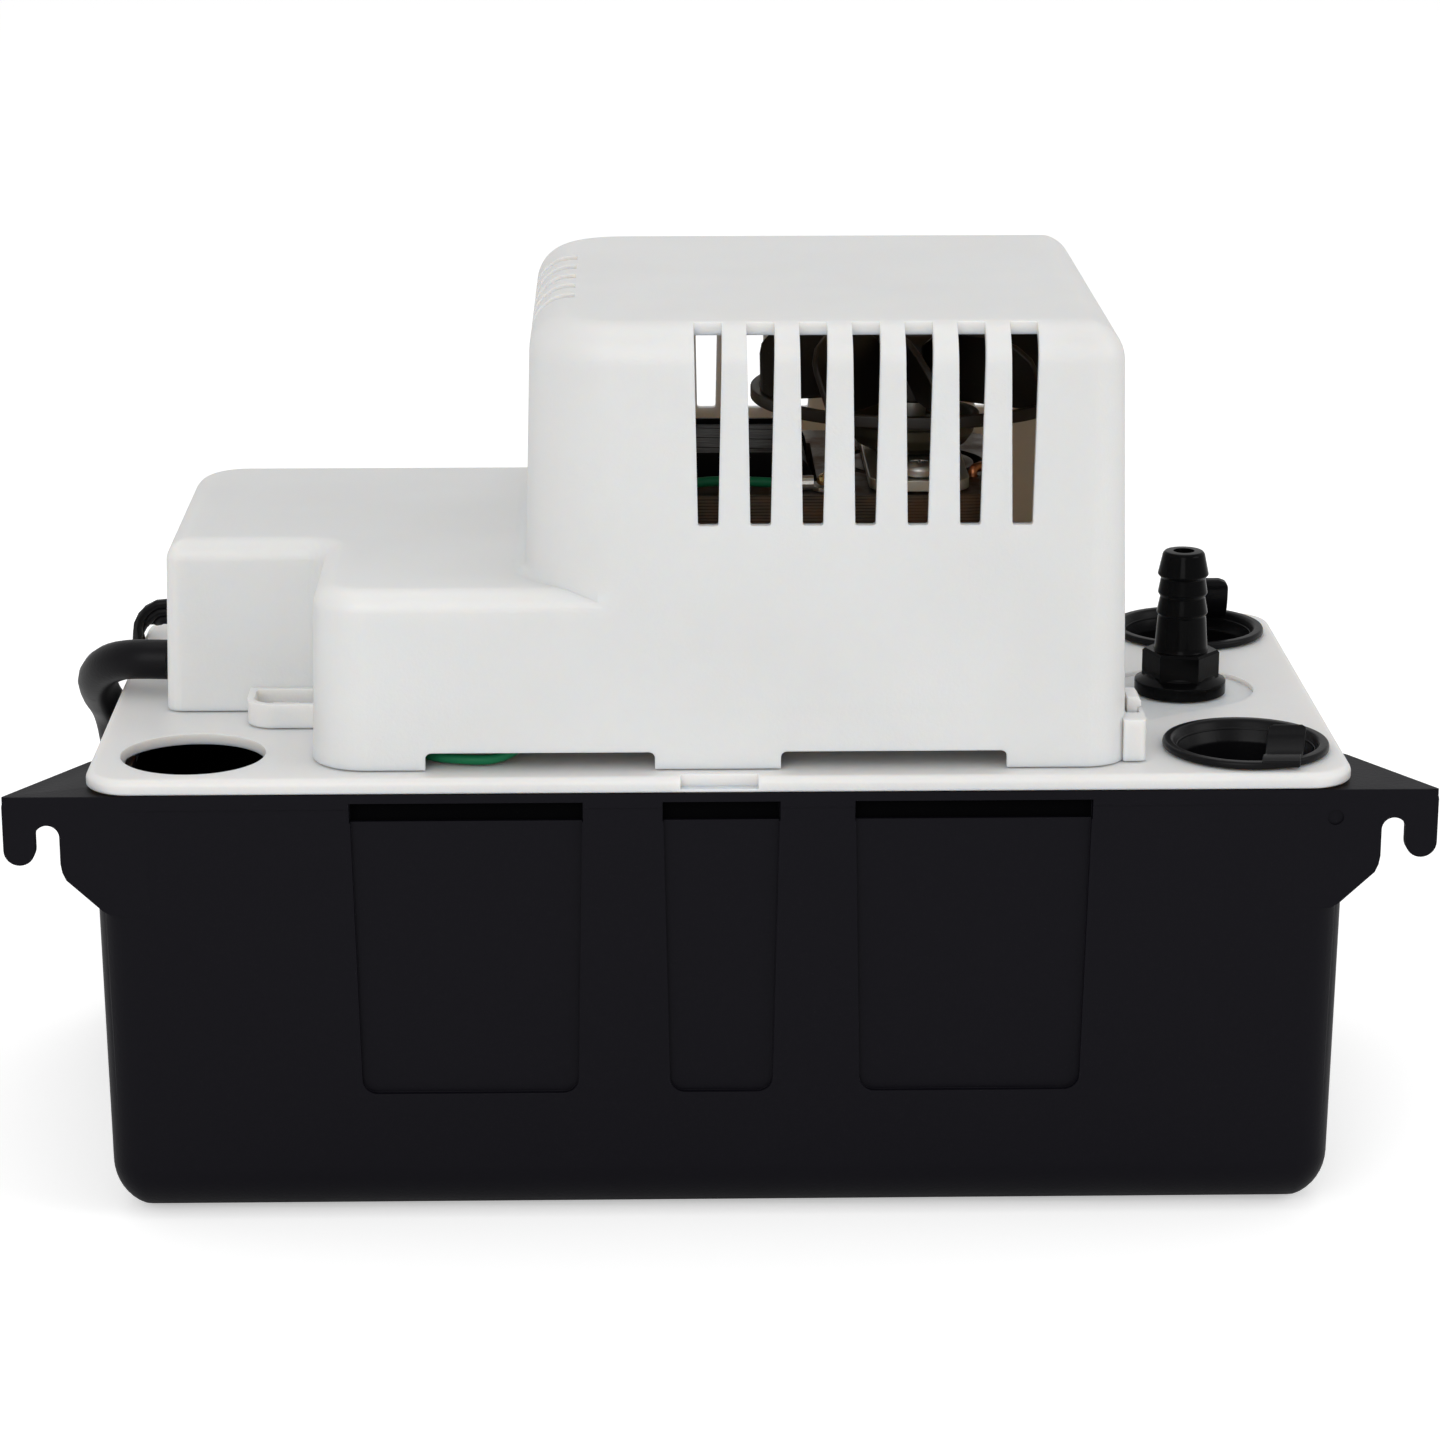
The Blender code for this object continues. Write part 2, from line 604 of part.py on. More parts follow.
def high_cover(name, wall, bottom):
    top = COVER_HIGH_TOP - wall
    edge = COVER_HIGH_EDGE - 0.5 * wall
    rings = [high_ring(bottom, wall, 0.0)]
    start = COVER_LOW_TOP - wall
    for step in range(6):
        rise = (COVER_FILLET + wall) * (1 - cos(0.5 * pi * step / 5))
        rings.append(high_ring(start + rise, wall, 0.0))
    for step in range(6):
        turn = 0.5 * pi * step / 5
        rings.append(high_ring(top - edge + edge * sin(turn), wall, edge * (1 - cos(turn))))
    return lofted(name, rings)


def louvre(name, plane_x, face, far):
    """A slot cutter that narrows toward its foot and runs in over the top edge."""
    foot = 0.5 * (LOUVRE_WIDTH - LOUVRE_TAPER)
    head = 0.5 * (LOUVRE_WIDTH + LOUVRE_TAPER)
    outline = [(plane_x - foot, LOUVRE_FOOT), (plane_x + foot, LOUVRE_FOOT)]
    outline += [(plane_x + head, COVER_HIGH_TOP + 4), (plane_x - head, COVER_HIGH_TOP + 4)]
    return prism(name, outline, "XZ", face, far)


def make_cover():
    bottom = cover_bottom()
    cover = low_cover("motor_cover", 0.0, bottom)
    cover.data.materials.append(finish("cover"))
    join(cover, high_cover("cover_tall", 0.0, bottom + 12))
    wall = COVER_LOW[4]
    loop_left = rounded(
        rectangle(-95.5, COVER_LOW[0][0] + 1.2, wall[1] - 13.0, wall[1] + 1.2), (5.5, 0.5, 0.5, 0.5)
    )
    join(cover, prism("latch_loop_left", loop_left, "XY", bottom, DECK_TOP + 5.6))
    loop_right = rounded(rectangle(78.2, 85.2, -50.5, -37.5), (0.5, 2.0, 2.0, 0.5))
    join(cover, prism("latch_loop_right", loop_right, "XY", bottom, DECK_TOP + 6.5))
    cut(cover, low_cover("cover_hollow_low", COVER_WALL, bottom - 3))
    cut(cover, high_cover("cover_hollow_tall", COVER_WALL, bottom + 15))
    slot_left = rounded(
        rectangle(-93.5, COVER_LOW[0][0] - 1.2, wall[1] - 11.3, wall[1] - 1.6), [3.5, 0.5, 0.5, 0.5]
    )
    cut(cover, prism("latch_slot_left", slot_left, "XY", bottom - 7.7, bottom + 17.3))
    cut(cover, block("latch_slot_right", 80.3, 83.5, -49.0, -39.0, bottom - 7.7, bottom + 17.3))

    front = COVER_LOW[0][1]
    back = COVER_LOW[2][1]
    for i in range(LOUVRES):
        x = LOUVRE_FIRST + LOUVRE_PITCH * i
        cut(cover, louvre(f"louvre_front_{i}", x, front - 8, front + LOUVRE_DEPTH))
        cut(cover, louvre(f"louvre_rear_{i}", x + 1.6, back - LOUVRE_DEPTH, back + 8))
    left = COVER_HIGH_LEFT
    for i, y in enumerate(END_LOUVRES):
        half = 0.5 * LOUVRE_WIDTH
        slot = block(
            f"louvre_end_{i}", left - 14, left + 10.8, y - half, y + half, LOUVRE_FOOT, COVER_HIGH_TOP + 4
        )
        cut(cover, slot)
    for i, (x0, x1) in enumerate(((-57.9, -13.1), (11.5, 55.7))):
        outline = [(x0, bottom - 2), (x1, bottom - 2), (x1, bottom + 2.2), (x1 - 1.2, bottom + 3.4)]
        outline += [(x0 + 1.2, bottom + 3.4), (x0, bottom + 2.2)]
        cut(cover, prism(f"base_notch_{i}", outline, "XZ", front - 5, front + 5))
    cord_hole = 0.5 * CORD_DIAMETER + CORD_SEAT + RELIEF_WALL + FIT
    cut(cover, rod("cord_hole", "YZ", (0.0, CORD_Z), cord_hole, COVER_LOW[4][0] - 5, COVER_LOW[4][0] + 5))
    lead_hole = 0.5 * LEAD_DIAMETER + 2 * FIT
    cut(cover, rod("lead_hole", "YZ", (40.0, CORD_Z), lead_hole, COVER_LOW[4][0] - 5, COVER_LOW[4][0] + 5))
    return cover


# ---------------------------------------------------------------- motor

def c_ring(name, outer, hole, plane, start, end, kind):
    """A flat piece with one hole: outer and hole are outlines in the plane."""
    made = prism(name, outer, plane, start, end, finish(kind))
    cut(made, prism(f"{name}_hole", hole, plane, start - 1, end + 1))
    return made


def shading_place(angle):
    return (SHAFT[0] + SHADING_RADIUS * cos(radians(angle)), SHAFT[1] + SHADING_RADIUS * sin(radians(angle)))


def make_stack():
    outer = rounded(rectangle(STACK_LEFT, STACK_RIGHT, -STACK_HALF, STACK_HALF), (2.0, 9.0, 9.0, 2.0))
    window = rectangle(STACK_LEFT + LEG_WIDTH, WINDOW_RIGHT, -WINDOW_HALF, WINDOW_HALF)
    core = c_ring("stator_core", outer, window, "XY", STACK_BOTTOM, STACK_TOP, "laminations")
    low, high = STACK_BOTTOM - 2, STACK_TOP + 2
    cut(core, rod("stack_bore", "XY", SHAFT, ROTOR_RADIUS + FIT, low, high, steps=20))
    for name, side in (("front", -1), ("rear", 1)):
        cut(core, rod(f"stack_screw_{name}", "XY", (SHAFT[0], side * SCREW_Y), SCREW_RADIUS + FIT, low, high))
    for ring, *angles in SHADING:
        for i, angle in enumerate(angles):
            cut(core, rod(f"{ring}_hole_{i}", "XY", shading_place(angle), 1.0 + FIT, low, high, steps=16))
    cut(core, rod("stack_ground", "XY", GROUND, 1.5 + FIT, STACK_TOP - 8, high, steps=20))
    return core



def make_shading_ring(name, first, second):
    """A closed copper loop: down one hole of the stack, across below, and up the other."""
    (ax, ay), (bx, by) = shading_place(first), shading_place(second)
    along = Vector((bx - ax, by - ay, 0.0)).normalized()
    low, high = STACK_BOTTOM - 1.5, STACK_TOP + 1.5
    corners = [Vector((ax, ay, low)), Vector((bx, by, low)), Vector((bx, by, high)), Vector((ax, ay, high))]
    across = Vector((-along.y, along.x, 0.0))
    steps = 12
    points = []
    for i, corner in enumerate(corners):
        outward = (along if i in (1, 2) else -along) + Vector((0, 0, 1 if i > 1 else -1))
        for step in range(steps):
            angle = 2 * pi * step / steps
            points.append(corner + cos(angle) * across + sin(angle) * outward)
    faces = []
    for i in range(4):
        here, there = i * steps, (i + 1) % 4 * steps
        for step in range(steps):
            after = (step + 1) % steps
            faces.append((here + step, here + after, there + after, there + step))
    return mesh_object(name, points, faces, finish("copper"), smooth=True)


def rounded_box_loop(name, inner, outer, radii, y0, y1, kind):
    """A loop round the stator's leg, drawn in XZ and pushed along Y."""
    made = prism(name, rounded(outer, radii), "XZ", y0, y1, finish(kind))
    cut(made, prism(f"{name}_hole", inner, "XZ", y0 - 1, y1 + 1))
    return made


def make_coil():
    leg_left, leg_right = STACK_LEFT, STACK_LEFT + LEG_WIDTH
    middle = 0.5 * (leg_left + leg_right)
    half_z = COIL_HALF_HEIGHT
    centre_z = 0.5 * (STACK_BOTTOM + STACK_TOP)
    inner = rectangle(leg_left - FIT, leg_right + FIT, STACK_BOTTOM - FIT, STACK_TOP + FIT)
    tube = rectangle(
        leg_left - FIT - 1.2, leg_right + FIT + 1.2, STACK_BOTTOM - FIT - 1.2, STACK_TOP + FIT + 1.2
    )
    reach = WINDOW_RIGHT - middle - 0.8
    cheek = rectangle(middle - reach, middle + reach, centre_z - half_z, centre_z + half_z)
    ends = WINDOW_HALF - 0.8
    bobbin = prism("coil_bobbin", tube, "XZ", -ends, ends, finish("white"))
    for name, y0, y1 in (("front", -ends, -ends + 1.4), ("rear", ends - 1.4, ends)):
        cheek_plate = prism(f"bobbin_cheek_{name}", rounded(cheek, [6.0] * 4), "XZ", y0, y1)
        join(bobbin, cheek_plate)
    cut(bobbin, prism("bobbin_opening", inner, "XZ", -ends - 2, ends + 2))
    wound = rectangle(tube[0][0] - FIT, tube[1][0] + FIT, tube[0][1] - FIT, tube[2][1] + FIT)
    outside = rectangle(
        middle - reach + 0.5, middle + reach - 0.5, centre_z - half_z + 0.6, centre_z + half_z - 0.6
    )
    span = ends - 1.4 - FIT
    winding = rounded_box_loop("coil_winding", wound, outside, [6.0] * 4, -span, span, "tape")
    return bobbin, winding


def bracket(name, low):
    outer = rectangle(SHAFT[0] - PLATE_HALF, SHAFT[0] + PLATE_HALF, -STACK_HALF, STACK_HALF)
    plate = prism(name, rounded(outer, [5.0] * 4), "XY", low, low + PLATE_THICK, finish("steel"))
    cut(plate, rod(f"{name}_shaft", "XY", SHAFT, SHAFT_RADIUS + 2, low - 1, low + 5))
    for end, side in (("front", -1), ("rear", 1)):
        centre = (SHAFT[0], side * SCREW_Y)
        cut(plate, rod(f"{name}_screw_{end}", "XY", centre, SCREW_RADIUS + FIT, low - 1, low + 5))
    return plate


def bearing(name, foot, rise):
    """A sleeve bearing in a cup; rise is +1 when the cup opens upward."""
    bore = SHAFT_RADIUS + FIT
    shape = [(BEARING_RADIUS - 1.6, 7.6), (BEARING_RADIUS, 7.6), (BEARING_RADIUS, 6.2)]
    shape += [(BEARING_RADIUS - 0.9, 5.8)]
    shape += [(BEARING_RADIUS - 1.2, 3.6), (BEARING_RADIUS - 2.8, 1.4), (BEARING_RADIUS - 5.6, 0.0)]
    shape += [(bore, 0.0), (bore, BEARING_HEIGHT - 1.8), (BEARING_RADIUS - 2.2, BEARING_HEIGHT - 3.0)]
    return turned(name, [(r, foot + rise * z) for r, z in shape], SHAFT, finish("sintered"), bored=True)


def screw(name, centre, head_z, shank_radius, shank_foot, head_radius=3.3, head_height=2.6):
    """A pan-head machine screw with a cross slot's dish in its head."""
    top = head_z + head_height
    profile = [(0.0, top - 0.9), (0.9, top - 0.9), (1.2, top), (head_radius - 0.9, top)]
    profile += [(head_radius, top - 1.0)]
    profile += [(head_radius, head_z), (shank_radius, head_z), (shank_radius, shank_foot + 0.6)]
    profile += [(shank_radius - 0.5, shank_foot), (0.0, shank_foot)]
    return turned(name, profile, centre, finish("steel"), steps=10)


def make_fan():
    """Pitched blades between a hub and a rim ring."""
    hub_top = FAN_BOTTOM + 13.5
    bore = SHAFT_RADIUS + FIT
    hub = [(5.4, hub_top), (7.0, hub_top - 1.6), (7.4, FAN_BOTTOM), (bore, FAN_BOTTOM), (bore, hub_top - 2)]
    hub += [(0.0, hub_top - 2)]
    profile = [(0.0, hub_top)] + hub
    fan = turned("fan", profile, SHAFT, finish("fan"), steps=14)
    rim = [(FAN_RADIUS, FAN_BOTTOM + 2.4), (FAN_RADIUS, FAN_BOTTOM), (FAN_RADIUS - 2.0, FAN_BOTTOM)]
    rim.append((FAN_RADIUS - 1.8, FAN_BOTTOM + 2.4))
    join(fan, turned("fan_rim", rim, SHAFT, bored=True))
    length = FAN_RADIUS - 1.4 - 5.0
    height = FAN_TOP - FAN_BOTTOM
    for i in range(FAN_BLADES):
        outline = [(5.0, 0.6), (5.0 + length, 0.6), (5.0 + length - 1, 0.72 * height), (22.0, height)]
        outline += [(13.0, height)]
        outline.append((5.0, 0.62 * height))
        blade = prism(f"fan_blade_{i}", outline, "XZ", -0.8, 0.8)
        pitch = Matrix.Rotation(radians(24), 4, "X")
        turn = Matrix.Rotation(2 * pi * i / FAN_BLADES + 0.2, 4, "Z")
        place = Matrix.Translation(Vector((SHAFT[0], SHAFT[1], FAN_BOTTOM)) * MM)
        blade.data.transform(place @ turn @ pitch)
        join(fan, blade)
    return fan


def make_motor():
    plate_low = STACK_BOTTOM - 2 * FIT - PLATE_THICK
    plate_high = STACK_TOP + 2 * FIT
    make_stack()
    make_coil()
    for name, first, second in SHADING:
        make_shading_ring(name, first, second)
    bracket("upper_bracket", plate_high)
    bracket("lower_bracket", plate_low)
    bearing("upper_bearing", plate_high + PLATE_THICK + FIT, 1)
    bearing("lower_bearing", plate_low - FIT, -1)
    for name, side in (("motor_screw_front", -1), ("motor_screw_rear", 1)):
        centre = (SHAFT[0], side * SCREW_Y)
        screw(name, centre, plate_high + PLATE_THICK + FIT, SCREW_RADIUS, STACK_BOTTOM - 18)
    bore = SHAFT_RADIUS + FIT
    rotor = [(bore, STACK_TOP), (ROTOR_RADIUS - 2, STACK_TOP), (ROTOR_RADIUS - 1.5, STACK_TOP - 2)]
    rotor += [(ROTOR_RADIUS, STACK_TOP - 2.4), (ROTOR_RADIUS, STACK_BOTTOM + 2.4)]
    rotor += [(ROTOR_RADIUS - 1.5, STACK_BOTTOM + 2), (ROTOR_RADIUS - 2, STACK_BOTTOM), (bore, STACK_BOTTOM)]
    turned("rotor", rotor, SHAFT, finish("laminations"), bored=True)
    top = FAN_BOTTOM + 13.5 - 2 - FIT
    shaft = [(0.0, top), (SHAFT_RADIUS - 0.4, top), (SHAFT_RADIUS, top - 0.4)]
    shaft += [(SHAFT_RADIUS, IMPELLER_BOTTOM + 0.9), (SHAFT_RADIUS - 0.4, IMPELLER_BOTTOM + 0.5)]
    shaft.append((0.0, IMPELLER_BOTTOM + 0.5))
    turned("shaft", shaft, SHAFT, finish("steel"), steps=10)
    make_fan()
    collar = DECK_TOP + 3.0
    slinger = [(SHAFT_RADIUS + FIT, collar + 3.0), (5.6, collar + 3.0), (5.8, collar + 1.2)]
    slinger += [(9.0, collar + 0.6), (9.0, collar), (SHAFT_RADIUS + FIT, collar)]
    turned("slinger", slinger, SHAFT, finish("rubber"), bored=True)
    low, high = STACK_TOP + FIT, STACK_TOP + FIT + 0.8
    ring = [(2.0, high), (4.2, high), (4.2, low), (2.0, low)]
    terminal = turned("ring_terminal", ring, GROUND, finish("steel"), bored=True, steps=14)
    x, y = GROUND
    barrel = rod("terminal_barrel", "YZ", (y - 0.6, STACK_TOP + FIT + 1.3), 1.5, x - 10.5, x - 3.6, steps=14)
    join(terminal, barrel)
    cut(terminal, rod("terminal_bore", "YZ", (y - 0.6, STACK_TOP + FIT + 1.3), 1.2, x - 12, x - 5.6, steps=14))
    screw("ground_screw", GROUND, STACK_TOP + 2 * FIT + 0.8, 1.5, STACK_TOP - 6, 3.0, 2.0)


# ---------------------------------------------------------------- pump

def make_impeller():
    bore = SHAFT_RADIUS + FIT
    low = IMPELLER_BOTTOM
    disc = [(0.0, low + 10), (5.2, low + 10), (6.0, low + 9.2), (6.0, low + 8.0), (IMPELLER_RADIUS, low + 7.6)]
    disc += [(IMPELLER_RADIUS, low + 6.2), (5.0, low + 6.0), (5.0, low), (0.0, low)]
    impeller = turned("impeller", disc, SHAFT, finish("white"))
    vanes = []
    for i in range(6):
        start = 2 * pi * i / 6
        for radius, sweep in (
            (4.0, -0.35), (IMPELLER_RADIUS - 0.5, -0.75), (IMPELLER_RADIUS - 0.2, -0.66), (6.5, 0.1)
        ):
            vanes.append((SHAFT[0] + radius * cos(start + sweep), SHAFT[1] + radius * sin(start + sweep)))
    join(impeller, prism("impeller_vanes", vanes, "XY", low + 0.5, low + 6.8))
    cut(impeller, rod("impeller_bore", "XY", SHAFT, bore, low + 0.2, low + 14))
    return impeller


def make_pump():
    make_impeller()
    x, y = SHAFT
    cavity = VOLUTE_RADIUS - 3.0
    collar = COLUMN_RADIUS + FIT
    outside = [(0.0, VOLUTE_TOP + 5), (collar + 2.2, VOLUTE_TOP + 5), (collar + 2.6, VOLUTE_TOP)]
    outside.append((VOLUTE_RADIUS - 4, VOLUTE_TOP - 1))
    outside += [(VOLUTE_RADIUS - 1, VOLUTE_TOP - 3), (VOLUTE_RADIUS, VOLUTE_TOP - 6)]
    outside += [(VOLUTE_RADIUS, VOLUTE_BOTTOM)]
    outside.append((0.0, VOLUTE_BOTTOM))
    volute = turned("volute", outside, SHAFT, finish("white"))
    barb_end = x + 32
    outlet = rod("volute_outlet", "YZ", (OUTLET_Y, OUTLET_Z), HOSE_BARB - 0.1, x + 10, barb_end)
    thick = rod("volute_outlet_root", "YZ", (OUTLET_Y, OUTLET_Z), HOSE_BARB + 2.0, x + 9, x + 21)
    join(volute, thick, outlet)
    hollow = [(0.0, VOLUTE_TOP - 3.4), (cavity - 5, VOLUTE_TOP - 3.4), (cavity, VOLUTE_TOP - 6.6)]
    hollow += [(cavity, VOLUTE_BOTTOM - 2), (0.0, VOLUTE_BOTTOM - 2)]
    cut(volute, turned("volute_cavity", hollow, SHAFT))
    cut(volute, rod("volute_collar_bore", "XY", SHAFT, collar, VOLUTE_TOP - 0.5, VOLUTE_TOP + 8, steps=20))
    cut(volute, rod("volute_neck", "XY", SHAFT, SHAFT_RADIUS + 1.0, VOLUTE_TOP - 5, VOLUTE_TOP + 2))
    cut(
        volute,
        rod("volute_outlet_bore", "YZ", (OUTLET_Y, OUTLET_Z), HOSE_BARB - 1.4, x + 8, barb_end + 3, steps=20)
    )

    low = VOLUTE_BOTTOM - FIT
    plate = [(7.0, low), (7.0, low - 2.2), (VOLUTE_RADIUS, low - 2.2), (VOLUTE_RADIUS, low)]
    plate += [(cavity - FIT, low)]
    plate += [(cavity - FIT, low + 2.2), (cavity - FIT - 1.6, low + 2.2), (cavity - FIT - 1.6, low)]
    plate.reverse()
    base = turned("volute_plate", plate, SHAFT, finish("white"), bored=True)
    for i in range(3):
        angle = 2 * pi * i / 3 + 0.5
        centre = (x + 20 * cos(angle), y + 20 * sin(angle))
        join(base, rod(f"volute_foot_{i}", "XY", centre, 3.0, TANK_WALL + FIT, low - 1.6, steps=20))

    top = DECK_TOP - DECK_THICK - FIT
    bore = COLUMN_RADIUS - 3.0
    shape = [(20.0, top), (20.0, top - 2.5), (COLUMN_RADIUS + 2, top - 3.2), (COLUMN_RADIUS, top - 6)]
    shape += [(COLUMN_RADIUS, VOLUTE_TOP - 0.5 + FIT), (bore, VOLUTE_TOP - 0.5 + FIT), (bore, top)]
    column = turned("pump_column", shape, SHAFT, finish("white"), bored=True)
    for i, z in enumerate((40.0, 70.0)):
        cut(column, block(f"column_window_{i}", x - 3, x + 3, y - 15, y + 15, z, z + 8))
    for name, side in (("left", -1), ("right", 1)):
        centre = (x + side * 15.0, y)
        cut(column, rod(f"column_screw_bore_{name}", "XY", centre, 1.5 + FIT, top - 9, top + 2, steps=20))
        screw(f"column_screw_{name}", centre, DECK_TOP + FIT, 1.5, top - 6.5, 2.8, 1.9)

    inner = HOSE_BARB + 0.35
    end = CHECK_FOOT - 1.0
    stops = [(x + 24.5, OUTLET_Y, OUTLET_Z), (x + 33, OUTLET_Y, OUTLET_Z)]
    stops += [(x + 43.5, OUTLET_Y + 0.8, OUTLET_Z + 3)]
    stops += [(x + 51.5, OUTLET_Y + 5, OUTLET_Z + 13), (x + 55.5, OUTLET_Y + 12, OUTLET_Z + 27)]
    stops += [(FITTING[0], FITTING[1] - 1.0, end - 22), (FITTING[0], FITTING[1], end - 10)]
    stops += [(FITTING[0], FITTING[1], end)]
    hollow_hose("discharge_hose", stops, inner + HOSE_WALL, inner, finish("hose"))


def make_discharge():
    x, y = FITTING
    flange = DECK_TOP - 1.0 + FIT
    foot = CHECK_FOOT + FIT
    top = FITTING_TOP
    barbs = [(0.0, 0.0), (3.9, 0.0), (4.35, 0.5), (5.3, 4.9), (4.6, 5.6), (5.15, 8.8), (4.65, 9.6), (5.3, 13.0)]
    barbs += [(4.95, 13.6), (5.1, 15.0), (5.5, 20.2), (5.7, 21.0), (6.4, 21.4)]
    outside = [(radius, top - depth) for radius, depth in barbs]
    outside += [(6.4, flange + 5.0), (7.4, flange + 3.6), (9.5, flange + 2.6), (9.5, flange)]
    outside += [(SHANK_RADIUS, flange), (SHANK_RADIUS, foot), (0.0, foot)]
    fitting = turned("discharge_fitting", outside, FITTING, finish("fitting"))
    hexagon = []
    for z, radius in ((4.1, HEX_RADIUS), (8.8, HEX_RADIUS), (9.3, HEX_RADIUS - 0.5)):
        hexagon.append([
            (x + radius * cos(pi * i / 3 - 0.164), y + radius * sin(pi * i / 3 - 0.164), flange + z)
            for i in range(6)
        ])
    join(fitting, lofted("fitting_hexagon", hexagon, smooth=False))
    bore = [(0.0, top + 2), (2.2, top + 2), (2.2, top - 22), (CHAMBER, top - 25), (CHAMBER, foot - 2)]
    bore += [(0.0, foot - 2)]
    cut(fitting, turned("fitting_bore", bore, FITTING))

    nut_top = DECK_TOP - DECK_THICK - FIT
    nut = prism(
        "fitting_nut",
        [(x + 10.6 * cos(pi * i / 3), y + 10.6 * sin(pi * i / 3)) for i in range(6)],
        "XY", nut_top - 2.3 - 6.0, nut_top - 2.3, finish("fitting"),
    )
    cut(nut, rod("nut_bore", "XY", FITTING, SHANK_RADIUS + FIT, nut_top - 12, nut_top + 2, steps=20))
    section = []
    for step in range(8):
        angle = -2 * pi * step / 8
        section.append((SHANK_RADIUS + FIT + 1.1 + 1.0 * cos(angle), nut_top - 1.0 + 1.0 * sin(angle)))
    turned("fitting_o_ring", section, FITTING, finish("rubber"), bored=True)

    barb = HOSE_BARB - 0.1
    seat_top = CHECK_FOOT + 6.0
    seat = [(CHAMBER - FIT, seat_top), (CHAMBER - FIT, CHECK_FOOT), (SHANK_RADIUS, CHECK_FOOT)]
    seat += [(SHANK_RADIUS, CHECK_FOOT - 0.7), (barb - 0.6, CHECK_FOOT - 1.0), (barb - 0.6, CHECK_FOOT - 4)]
    seat += [(barb, CHECK_FOOT - 4.4), (barb - 0.7, CHECK_FOOT - 7), (barb, CHECK_FOOT - 7.4)]
    seat += [(barb - 0.9, CHECK_FOOT - 11), (1.9, CHECK_FOOT - 11), (1.9, seat_top - 1.4), (2.6, seat_top)]
    turned("check_seat", seat, FITTING, finish("fitting"), bored=True)
    low = seat_top + FIT
    poppet = [(0.0, low + 6.5), (1.2, low + 6.5), (1.2, low + 2.4), (CHAMBER - 1.0, low + 2.4)]
    poppet += [(CHAMBER - 1.0, low + 0.4), (2.6, low), (1.5, low - 1.2), (0.0, low - 1.2)]
    turned("check_poppet", poppet, FITTING, finish("white"), steps=14)
    spring_foot = low + 2.4 + FIT
    spring_top = top - 22 - 3.4
    wire = 0.7
    climb = spring_top - spring_foot - wire
    route = []
    for i in range(33):
        angle = 8 * pi * i / 32
        lift = spring_foot + 0.5 * wire + climb * i / 32
        route.append(Vector((x + 2.2 * cos(angle), y + 2.2 * sin(angle), lift)))
    tube("check_spring", route, wire, finish("steel"), resolution=1)


# ---------------------------------------------------------------- float and switches

def make_float():
    x0, x1, y0, y1, z0, z1 = FLOAT_BOX
    block_rings = []
    for z, inset in ((z0, 2.5), (z0 + 0.8, 0.8), (z0 + 2.5, 0.0), (z1 - 2.5, 0.0), (z1 - 0.8, 0.8), (z1, 2.5)):
        block_rings.append(at_height(rounded(rectangle(x0, x1, y0, y1), [5.0] * 4, inset), z))
    float_body = lofted("float", block_rings, finish("float"))
    middle = 0.5 * (y0 + y1)
    peg = (0.5 * (x0 + x1), middle)
    cut(float_body, rod("float_socket", "XY", peg, 3.0 + FIT, z1 - 10, z1 + 2))

    hub_start, hub_end = LUG_FRONT + FIT, LUG_REAR - FIT
    arm = rod("float_arm", "XZ", (PIVOT_X, PIVOT_Z), 4.0, hub_start, hub_end, finish("white"))
    rest = z1 + FIT
    outline = [(PIVOT_X - 2.4, PIVOT_Z - 2.0), (x0 - 4, rest), (x1 - 8, rest), (x1 - 8, rest + 2.4)]
    outline += [(x0 - 2.4, rest + 2.4), (PIVOT_X + 3.0, PIVOT_Z + 0.8)]
    join(arm, prism("float_arm_strip", outline, "XZ", middle - 5, middle + 5))
    join(arm, rod("float_arm_peg", "XY", peg, 3.0, z1 - 9, rest + 1.2))
    finger = [(PIVOT_X - 4.0, PIVOT_Z), (PIVOT_X, PIVOT_Z), (PIVOT_X, FINGER_TOP - 1.5)]
    finger += [(PIVOT_X - 1.5, FINGER_TOP), (PIVOT_X - 2.5, FINGER_TOP), (PIVOT_X - 4.0, FINGER_TOP - 1.5)]
    join(arm, prism("float_finger", finger, "XZ", FINGER_Y - 2, FINGER_Y + 2))
    cut(arm, rod("float_arm_bore", "XZ", (PIVOT_X, PIVOT_Z), PIN_RADIUS + FIT, 0, 45))
    put_origin(arm, (PIVOT_X, middle, PIVOT_Z))
    put_origin(float_body, (PIVOT_X, middle, PIVOT_Z))

    rod("float_pin", "XZ", (PIVOT_X, PIVOT_Z), PIN_RADIUS, LUG_FRONT - 3.4, LUG_REAR + 3.4, finish("steel"))


def switch_body(name, low, high):
    x0, x1, y0, y1, _, _ = SWITCH_BOX
    box = rounded(rectangle(x0, x1, y0, y1), [1.2] * 4, arc=3)
    body = prism(name, box, "XY", low, high, finish("switch"))
    for i, centre in enumerate(SWITCH_SCREWS):
        cut(body, rod(f"{name}_screw_hole_{i}", "XY", centre, 1.2 + FIT, low - 1, high + 1, steps=20))
    return body


